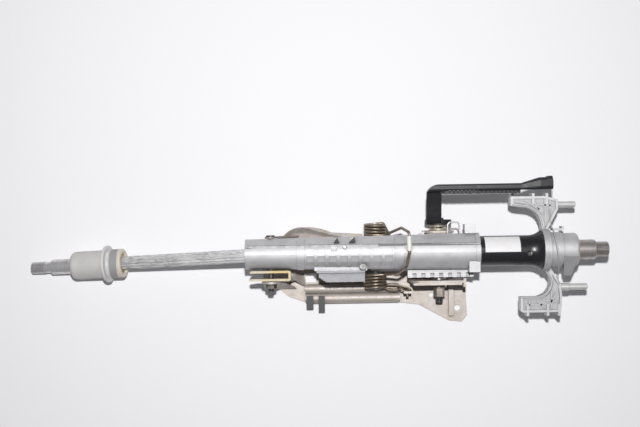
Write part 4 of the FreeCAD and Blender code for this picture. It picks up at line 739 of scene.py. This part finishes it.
def thread(radius, depth, pitch, start, tip, axis):
    """Thread along Y, from its start down to the bolt's tip: the radius rises to the crest and falls back
    once a pitch, the crest moves by one pitch a turn, and both ends run out."""
    rings, steps = 90, 72
    place, turn = np.meshgrid(np.linspace(start, tip, rings), angles(steps), indexing="ij")
    phase = (place / pitch - turn / (2.0 * np.pi)) % 1.0
    fade = np.clip(np.minimum(place - tip, start - place) / pitch, 0.0, 1.0)
    reach = radius + depth * fade * (1.0 - np.abs(2.0 * phase - 1.0))
    x, z = axis
    points = np.stack([x + reach * np.cos(turn), place, z + reach * np.sin(turn)], axis=-1)
    return points.reshape(-1, 3), tube_faces(rings, steps)


def carrier_rib(size):
    """Thin rib across the hub: X leans and bends a little from arm to arm, and Z follows a wide circle
    over the column and stays level at the arms' tops beyond it."""
    middle, lean, bend = 394.6, -0.115, 7.0e-4
    y = np.linspace(57.0, -48.0, 90)
    x = middle + lean * y + bend * y ** 2
    height = AXIS_Z + np.sqrt(np.clip(HUB_CIRCLE ** 2 - (y * MM) ** 2, 0.0, None))
    path = np.column_stack([x * MM, y * MM, np.maximum(height, ARM_TOP - size.rib / 2)])
    return wire_form(path, size.rib)


def arm_deck(size, curve, corners):
    """Deck in an arm, inside its rim: one hollow curve towards the hub and straight sides."""
    top = ARM_TOP - size.deck_drop
    return plate_form(np.concatenate([through(*curve), corners]) * MM, top - size.deck, top)


def deck_ribs(size, lines):
    """Upright ribs on a deck: a rib's corners lie its half width to each side of its line's ends."""
    low, high = ARM_TOP - size.deck_drop - size.deck, ARM_TOP - 0.2 * size.deck_drop
    forms = []
    for start, end in np.array(lines) * MM:
        side = np.array([start[1] - end[1], end[0] - start[0]])
        side = side / np.linalg.norm(side) * size.rib
        plan = np.array([start + side, start - side, end - side, end + side])
        forms.append(plate_form(plan, low, high))
    return joined(forms)


def arm_bead(size, curve, ends):
    """Round bead along the hollow edge of an arm: a curve through three points, then straight on."""
    path = np.concatenate([through(*curve), ends]) * MM
    height = np.full(len(path), ARM_TOP - size.bead / 2)
    return wire_form(np.column_stack([path, height]), size.bead)


def hub_lug():
    """Flat lug on the hub's rail side: a sloped face that narrows outwards, as deep as a wall."""
    root, tip = ((405.0, -9.0, 84.9), (426.0, -9.0, 84.2)), ((409.0, -36.0, 67.5), (419.0, -36.0, 67.5))
    inward = np.array([0.0, 4.0, -12.0])
    return sheet_form(np.array([root, tip]) * MM, inward * MM)


def web_pad():
    """Small square pad on the web's rim: a patch just outside the web."""
    return crown_patch((379.4, 385.4, 6), (-9.7, -2.2, 8), WEB_RADIUS, 1.0 * MM)


def housing_pin(size):
    """Round pin on the housing: a short shank whose crown falls as a quarter of an ellipse."""
    foot, shoulder, rise = -3.0 * MM, 1.0 * MM, 0.8 * MM
    fall = np.linspace(np.pi / 2.0, 0.0, 12)
    crown = np.column_stack([shoulder + rise * np.cos(fall), size.pin * np.sin(fall)])
    profile = np.concatenate([[(foot, 0.0), (foot, size.pin)], crown])
    profile[-1, 1] = 0.0
    return turned_form(profile, PIN_PLACE)


def screw_ring():
    """Dark gasket round the case screw: a round bar bent to a circle, seated on the housing."""
    low, high = node_box("case_screw")
    bar, gap, drop = 0.6 * MM, 0.2 * MM, 2.4 * MM
    centre = np.array([*(0.5 * (low + high))[:2], high[2] - drop])
    turn, around = np.meshgrid(angles(64), angles(12), indexing="ij")
    reach = 0.5 * (high[0] - low[0]) + gap + bar * np.cos(around)
    ring = np.stack([reach * np.cos(turn), reach * np.sin(turn), bar * np.sin(around)], axis=-1)
    return (centre + ring).reshape(-1, 3), [grid_faces(64, 12, close_rows=True, close_columns=True)]


def groove_floor():
    """Floor of the long groove over the wide bore: a strip just outside the bore."""
    return crown_patch((150.0, 290.0, 30), (9.2, 13.1, 10), BORE_FLOOR_RADIUS, 0.4 * MM)


def grip_web():
    """Web behind the grip's teeth: a strip whose near edge is two sine waves about a straight line."""
    start, end, near_edge, far_edge = 344.5, 235.0, 80.1, 84.6
    low, high = 92.6 * MM, 96.8 * MM
    x = np.linspace(start, end, 120)
    waves = 0.35 * np.sin(1.7 * x) + 0.3 * np.sin(0.61 * x)
    plan = np.concatenate([np.column_stack([x, near_edge + waves]), [(end, far_edge), (start, far_edge)]])
    return plate_form(plan * MM, low, high)


def notch_stops():
    """Dark stops in the two notches of the housing's flange: three-cornered plates."""
    low, high = 68.0 * MM, 81.2 * MM
    plans = (((88.2, 15.6), (96.4, 15.6), (93.0, 21.6)), ((109.2, 15.6), (118.2, 15.6), (117.2, 22.4)))
    return [plate_form(np.array(plan) * MM, low, high) for plan in plans]


def bracket_dome(size):
    """Pressed dome on the arch's sloped sheet: above the slope, Z rises with one minus the fourth power of
    the way from the dome's middle line to its edge, and the rise fades along X to both ends."""
    start, end, near_edge, rise, fade_in, fade_out = 13.0, 102.0, 12.0, 6.0, 20.0, 55.0
    far_x = (13.0, 22.0, 30.5, 47.4, 64.0, 83.0, 102.0)
    far_y = (16.5, 29.0, 33.6, 35.6, 31.2, 25.6, 22.8)
    slope_x, slope_y, slope_z, climb, fall = 40.0, 27.0, 11.0, 0.08, 0.25
    x, across = spread((start, end, 60), (-1.0, 1.0, 40))
    far_edge = np.interp(x, far_x, far_y)
    y = 0.5 * (near_edge + far_edge) + 0.5 * (far_edge - near_edge) * across
    fade = np.clip((x - start) / fade_in, 0.0, 1.0) * np.clip((end - x) / fade_out, 0.0, 1.0)
    slope = slope_z + climb * (x - slope_x) - fall * (y - slope_y)
    z = slope + rise * np.sin(0.5 * np.pi * fade) * (1.0 - across ** 4)
    return sheet_form(np.stack([x, y, z], axis=-1) * MM, np.array([0.0, 0.0, -0.35]) * size.wall)


def leg_link(size):
    """Hooked link round the near leg of the spring: a bar bent to two ovals in a row. Each oval is a
    circle that is stretched and leans along the leg, and Z rocks about one height on the way round."""
    height, rock, shift = 30.5, 1.6, 0.6
    turn = np.linspace(0.0, 2.0 * np.pi, 49)
    z = height + rock * np.sin(turn + shift)
    forms = []
    for x, y, reach, width, lean in ((172.0, -50.8, 11.5, 4.2, -0.04), (189.0, -53.4, 9.5, 3.0, -0.30)):
        along, across = reach * np.cos(turn), width * np.sin(turn)
        path = np.column_stack([x + along * np.cos(lean) - across * np.sin(lean),
                                y + along * np.sin(lean) + across * np.cos(lean), z])
        forms.append(wire_form(path * MM, size.link))
    return joined(forms)


def cheek_flare(size):
    """Foot of the pivot cheek: the sheet leaves the upright plate and sweeps outwards as it comes down.
    Y falls with a power of the drop, and the sheet widens evenly to the far side."""
    near_x, width, widening = -12.0, 24.0, 22.0
    plate_y, sweep, power = -41.1, 12.0, 1.7
    top_z, fall = 47.0, 42.5
    drop, share = spread((0.0, 1.0, 30), (0.0, 1.0, 20))
    points = np.stack([near_x + (width + widening * drop) * share, plate_y - sweep * drop ** power,
                       top_z - fall * drop], axis=-1)
    return sheet_form(points * MM, np.array([0.0, 1.0, -0.6]) * size.wall)


def cheek_web(size):
    """Web between the pivot cheek and the rail: a sheet that falls away in an S from the yoke's end, leans
    down across its width and is crowned a little as half a wave."""
    start, reach, drift, width, widening = np.array([27.5, -27.5, 27.0]), 20.0, 3.5, 10.5, 8.0
    fall, crown, lean = 17.0, 2.0, 4.0
    along, across = spread((0.0, 1.0, 30), (0.0, 1.0, 14))
    ease = along ** 2 * (3.0 - 2.0 * along)
    x = reach * along
    y = -drift * ease - (width + widening * ease) * across
    z = crown * np.cos(np.pi * (across - 0.5)) - fall * ease - lean * across
    return sheet_form((start + np.stack([x, y, z], axis=-1)) * MM, np.array([0.0, 0.0, -1.0]) * size.wall)


# Operators


class ColumnOperator:
    """Options that every operator of this file shares."""

    bl_options = {"REGISTER", "UNDO"}


class DressNodes(ColumnOperator, bpy.types.Operator):
    """Give each solid of the frame its own finish, or else that of its material slot"""

    bl_idname = "column.dress_nodes"
    bl_label = "Finish the solids"

    def execute(self, context):
        look = context.scene.column_finish
        finishes = slot_finishes(look)
        slot_of = {part["node"]: part["material_slot"] for part in frame["record"]["subparts"]}
        own = own_finishes(look)
        for name, node in frame["nodes"].items():
            node.data.materials.clear()
            node.data.materials.append(own.get(name) or finishes[slot_of[name]])
        return {"FINISHED"}


class AddLabel(ColumnOperator, bpy.types.Operator):
    """Lay the blank label on the jacket tube"""

    bl_idname = "column.add_label"
    bl_label = "Lay the label"

    def execute(self, context):
        finish = satin_film("label_film", context.scene.column_finish.label)
        new_piece("blank_label", *label_film(context.scene.column_parts), "jacket", finish)
        return {"FINISHED"}


class AddThreads(ColumnOperator, bpy.types.Operator):
    """Cut the threads on the ends of the clamp bolt and of the long pivot bolt"""

    bl_idname = "column.add_threads"
    bl_label = "Cut the threads"

    def execute(self, context):
        size = context.scene.column_parts
        finish = bpy.data.materials["dark_steel"]
        root_gap, tip_gap = THREAD_GAPS
        for bolt, (name, body, radius, axis) in BOLTS.items():
            tip = node_box(bolt)[0][1]
            root = node_box("clamp_nut")[0][1] if bolt == "clamp_bolt" else tip + PIVOT_TIP
            form = thread(radius, size.thread, size.pitch, root - root_gap, tip + tip_gap, axis)
            new_piece(name, *form, body, finish, "dark_steel")
        return {"FINISHED"}


class AddCarrierParts(ColumnOperator, bpy.types.Operator):
    """Add the rib, lug and pad of the switch carrier, and the deck, bead and ribs of each of its arms"""

    bl_idname = "column.add_carrier_parts"
    bl_label = "Detail the carrier"

    def execute(self, context):
        size = context.scene.column_parts
        forms = {"carrier_rib": carrier_rib(size)}
        for part, make in (("deck", arm_deck), ("bead", arm_bead)):
            forms.update({f"{arm}_{part}": make(size, *plan[part]) for arm, plan in ARMS.items()})
        forms.update({"hub_lug": hub_lug(), "web_pad": web_pad()})
        forms.update({f"{arm}_ribs": deck_ribs(size, plan["ribs"]) for arm, plan in ARMS.items()})
        # Painted shade: the carrier's added parts take a darker copy of its cast aluminium, with no worn
        # edges, to keep their flat faces from glaring under the lamp.
        shaded_copy = cast_metal("shaded_cast", toned(context.scene.column_finish.cast_aluminium, 0.86), wear=0.0)
        for name, form in forms.items():
            new_piece(name, *form, "jacket", shaded_copy, "cast_aluminium")
        return {"FINISHED"}


class AddHousingParts(ColumnOperator, bpy.types.Operator):
    """Add the housing's round pin, the ring round its screw, the floor of its groove and two dark stops"""

    bl_idname = "column.add_housing_parts"
    bl_label = "Detail the housing"

    def execute(self, context):
        forms = {
            "housing_pin": (housing_pin(context.scene.column_parts), "bright_steel", True),
            "screw_ring": (screw_ring(), "black_plastic", True),
            "groove_floor": (groove_floor(), "cast_aluminium", True),
        }
        for side, form in zip(("near", "far"), notch_stops()):
            forms["notch_stop_" + side] = (form, "black_plastic", False)
        for name, (form, finish, smooth) in forms.items():
            new_piece(name, *form, "housing", bpy.data.materials[finish], finish, smooth)
        return {"FINISHED"}


class AddGripWeb(ColumnOperator, bpy.types.Operator):
    """Close the gaps between the grip's teeth on the clamp lever"""

    bl_idname = "column.add_grip_web"
    bl_label = "Web the grip"

    def execute(self, context):
        # Painted shade: the web is a black darker than the lever's own paint, standing for the shade in
        # the gaps between the teeth.
        finish = painted("shaded_grip_black", (0.004, 0.004, 0.005), roughness=0.7)
        new_piece("grip_web", *grip_web(), "lever", finish, "black_steel", smooth=False)
        return {"FINISHED"}


class AddSheetParts(ColumnOperator, bpy.types.Operator):
    """Add the link on the spring's leg, the foot and web of the pivot cheek and the dome of the arch"""

    bl_idname = "column.add_sheet_parts"
    bl_label = "Detail the bracket"

    def execute(self, context):
        size = context.scene.column_parts
        for name, form, finish, slot_name in (
            ("leg_link", leg_link, "spring_wire", "spring_steel"),
            ("cheek_flare", cheek_flare, "plated_sheet", "zinc_steel"),
            ("cheek_web", cheek_web, "plated_sheet", "zinc_steel"),
            # The dome takes the arch's darker copy of the plated sheet, which is painted shade.
            ("bracket_dome", bracket_dome, "shaded_arch_sheet", "zinc_steel"),
        ):
            new_piece(name, *form(size), "bracket", bpy.data.materials[finish], slot_name)
        return {"FINISHED"}


class SetStage(ColumnOperator, bpy.types.Operator):
    """Make the floor, the lamp, the even light and the camera"""

    bl_idname = "column.set_stage"
    bl_label = "Set the stage"

    def execute(self, context):
        wish = context.scene.column_stage
        make_floor(CAD_BOX[0].z)
        make_light(wish)
        make_camera(wish)
        context.scene.view_settings.view_transform = "Standard"
        return {"FINISHED"}


def make_floor(height):
    """A pale floor that keeps the column's shadow; it glows a little towards the camera and in mirrors."""
    corners = FLOOR_HALF * np.array([(-1.0, -1.0), (1.0, -1.0), (1.0, 1.0), (-1.0, 1.0)])
    points = np.column_stack([corners, np.full(4, height)])
    mesh = bpy.data.meshes.new("floor")
    mesh.from_pydata(points.tolist(), [], [(0, 1, 2, 3)])
    made, tree = new_finish("pale_floor", 0.0, 0.9)
    mesh.materials.append(made)
    shader = tree.nodes["Principled BSDF"]
    feed(tree, FLOOR_COLOUR, shader.inputs["Base Color"])
    feed(tree, FLOOR_SHINE, shader.inputs["Specular IOR Level"])
    glow = add(tree, "ShaderNodeEmission", Strength=1.0, Color=GLOW_COLOUR)
    path = tree.nodes.new("ShaderNodeLightPath")
    seen = maths(tree, "MAXIMUM", path.outputs["Is Camera Ray"], path.outputs["Is Glossy Ray"])
    seen = maths(tree, "MAXIMUM", seen, path.outputs["Is Transmission Ray"])
    mix = tree.nodes.new("ShaderNodeMixShader")
    feed(tree, times(tree, seen, FLOOR_GLOW), mix.inputs[0])
    feed(tree, shader.outputs[0], mix.inputs[1])
    feed(tree, glow.outputs[0], mix.inputs[2])
    feed(tree, mix.outputs[0], tree.nodes["Material Output"].inputs["Surface"])
    placed("floor", mesh)


def make_light(wish):
    """One small soft lamp near the camera, and an even sky that looks brighter than it lights."""
    data = bpy.data.lights.new("soft_lamp", "AREA")
    data.shape = "SQUARE"
    data.size = LAMP_SIZE
    data.energy = wish.lamp_power
    lamp = placed("soft_lamp", data)
    lamp.location = LAMP_PLACE
    lamp.rotation_euler = (LAMP_LEAN, 0.0, 0.0)
    world = bpy.context.scene.world or bpy.data.worlds.new("sky")
    bpy.context.scene.world = world
    world.use_nodes = True
    tree = world.node_tree
    sky = tree.nodes["Background"]
    feed(tree, SKY_COLOUR, sky.inputs["Color"])
    path = tree.nodes.new("ShaderNodeLightPath")
    backdrop = times(tree, path.outputs["Is Camera Ray"], wish.backdrop - wish.sky_level)
    feed(tree, maths(tree, "ADD", backdrop, wish.sky_level), sky.inputs["Strength"])


def make_camera(wish):
    """A camera that looks straight down on the column."""
    data = bpy.data.cameras.new("camera")
    data.sensor_width = SENSOR_WIDTH
    data.lens = wish.lens
    camera = placed("camera", data)
    turn = Matrix.Rotation(wish.camera_turn, 4, "Z")
    camera.matrix_world = Matrix.Translation((wish.camera_x, wish.camera_y, wish.camera_height)) @ turn
    bpy.context.scene.camera = camera


class ColumnPanel(bpy.types.Panel):
    """Settings and steps in the sidebar of the 3D view"""

    bl_idname = "VIEW3D_PT_column"
    bl_label = "Steering column"
    bl_space_type = "VIEW_3D"
    bl_region_type = "UI"
    bl_category = "Column"

    def draw(self, context):
        for settings, kind in SETTINGS.items():
            box = self.layout.box()
            for name in kind.__annotations__:
                box.prop(getattr(context.scene, settings), name)
        for step in STEPS:
            self.layout.operator(step.bl_idname)


STEPS = (DressNodes, AddLabel, AddThreads, AddCarrierParts, AddHousingParts, AddGripWeb, AddSheetParts,
         SetStage)
SETTINGS = {"column_finish": FinishSettings, "column_parts": FinePartSettings,
            "column_stage": StageSettings}
CLASSES = (*SETTINGS.values(), *STEPS, ColumnPanel)


def register():
    for kind in CLASSES:
        bpy.utils.register_class(kind)
    for name, kind in SETTINGS.items():
        setattr(bpy.types.Scene, name, bpy.props.PointerProperty(type=kind))


def unregister():
    for name in SETTINGS:
        delattr(bpy.types.Scene, name)
    for kind in reversed(CLASSES):
        bpy.utils.unregister_class(kind)


def main():
    register()
    bpy.ops.column.dress_nodes()
    bpy.ops.column.add_label()
    bpy.ops.column.add_threads()
    bpy.ops.column.add_carrier_parts()
    bpy.ops.column.add_housing_parts()
    bpy.ops.column.add_grip_web()
    bpy.ops.column.add_sheet_parts()
    bpy.ops.column.set_stage()


if __name__ == "__main__":
    main()
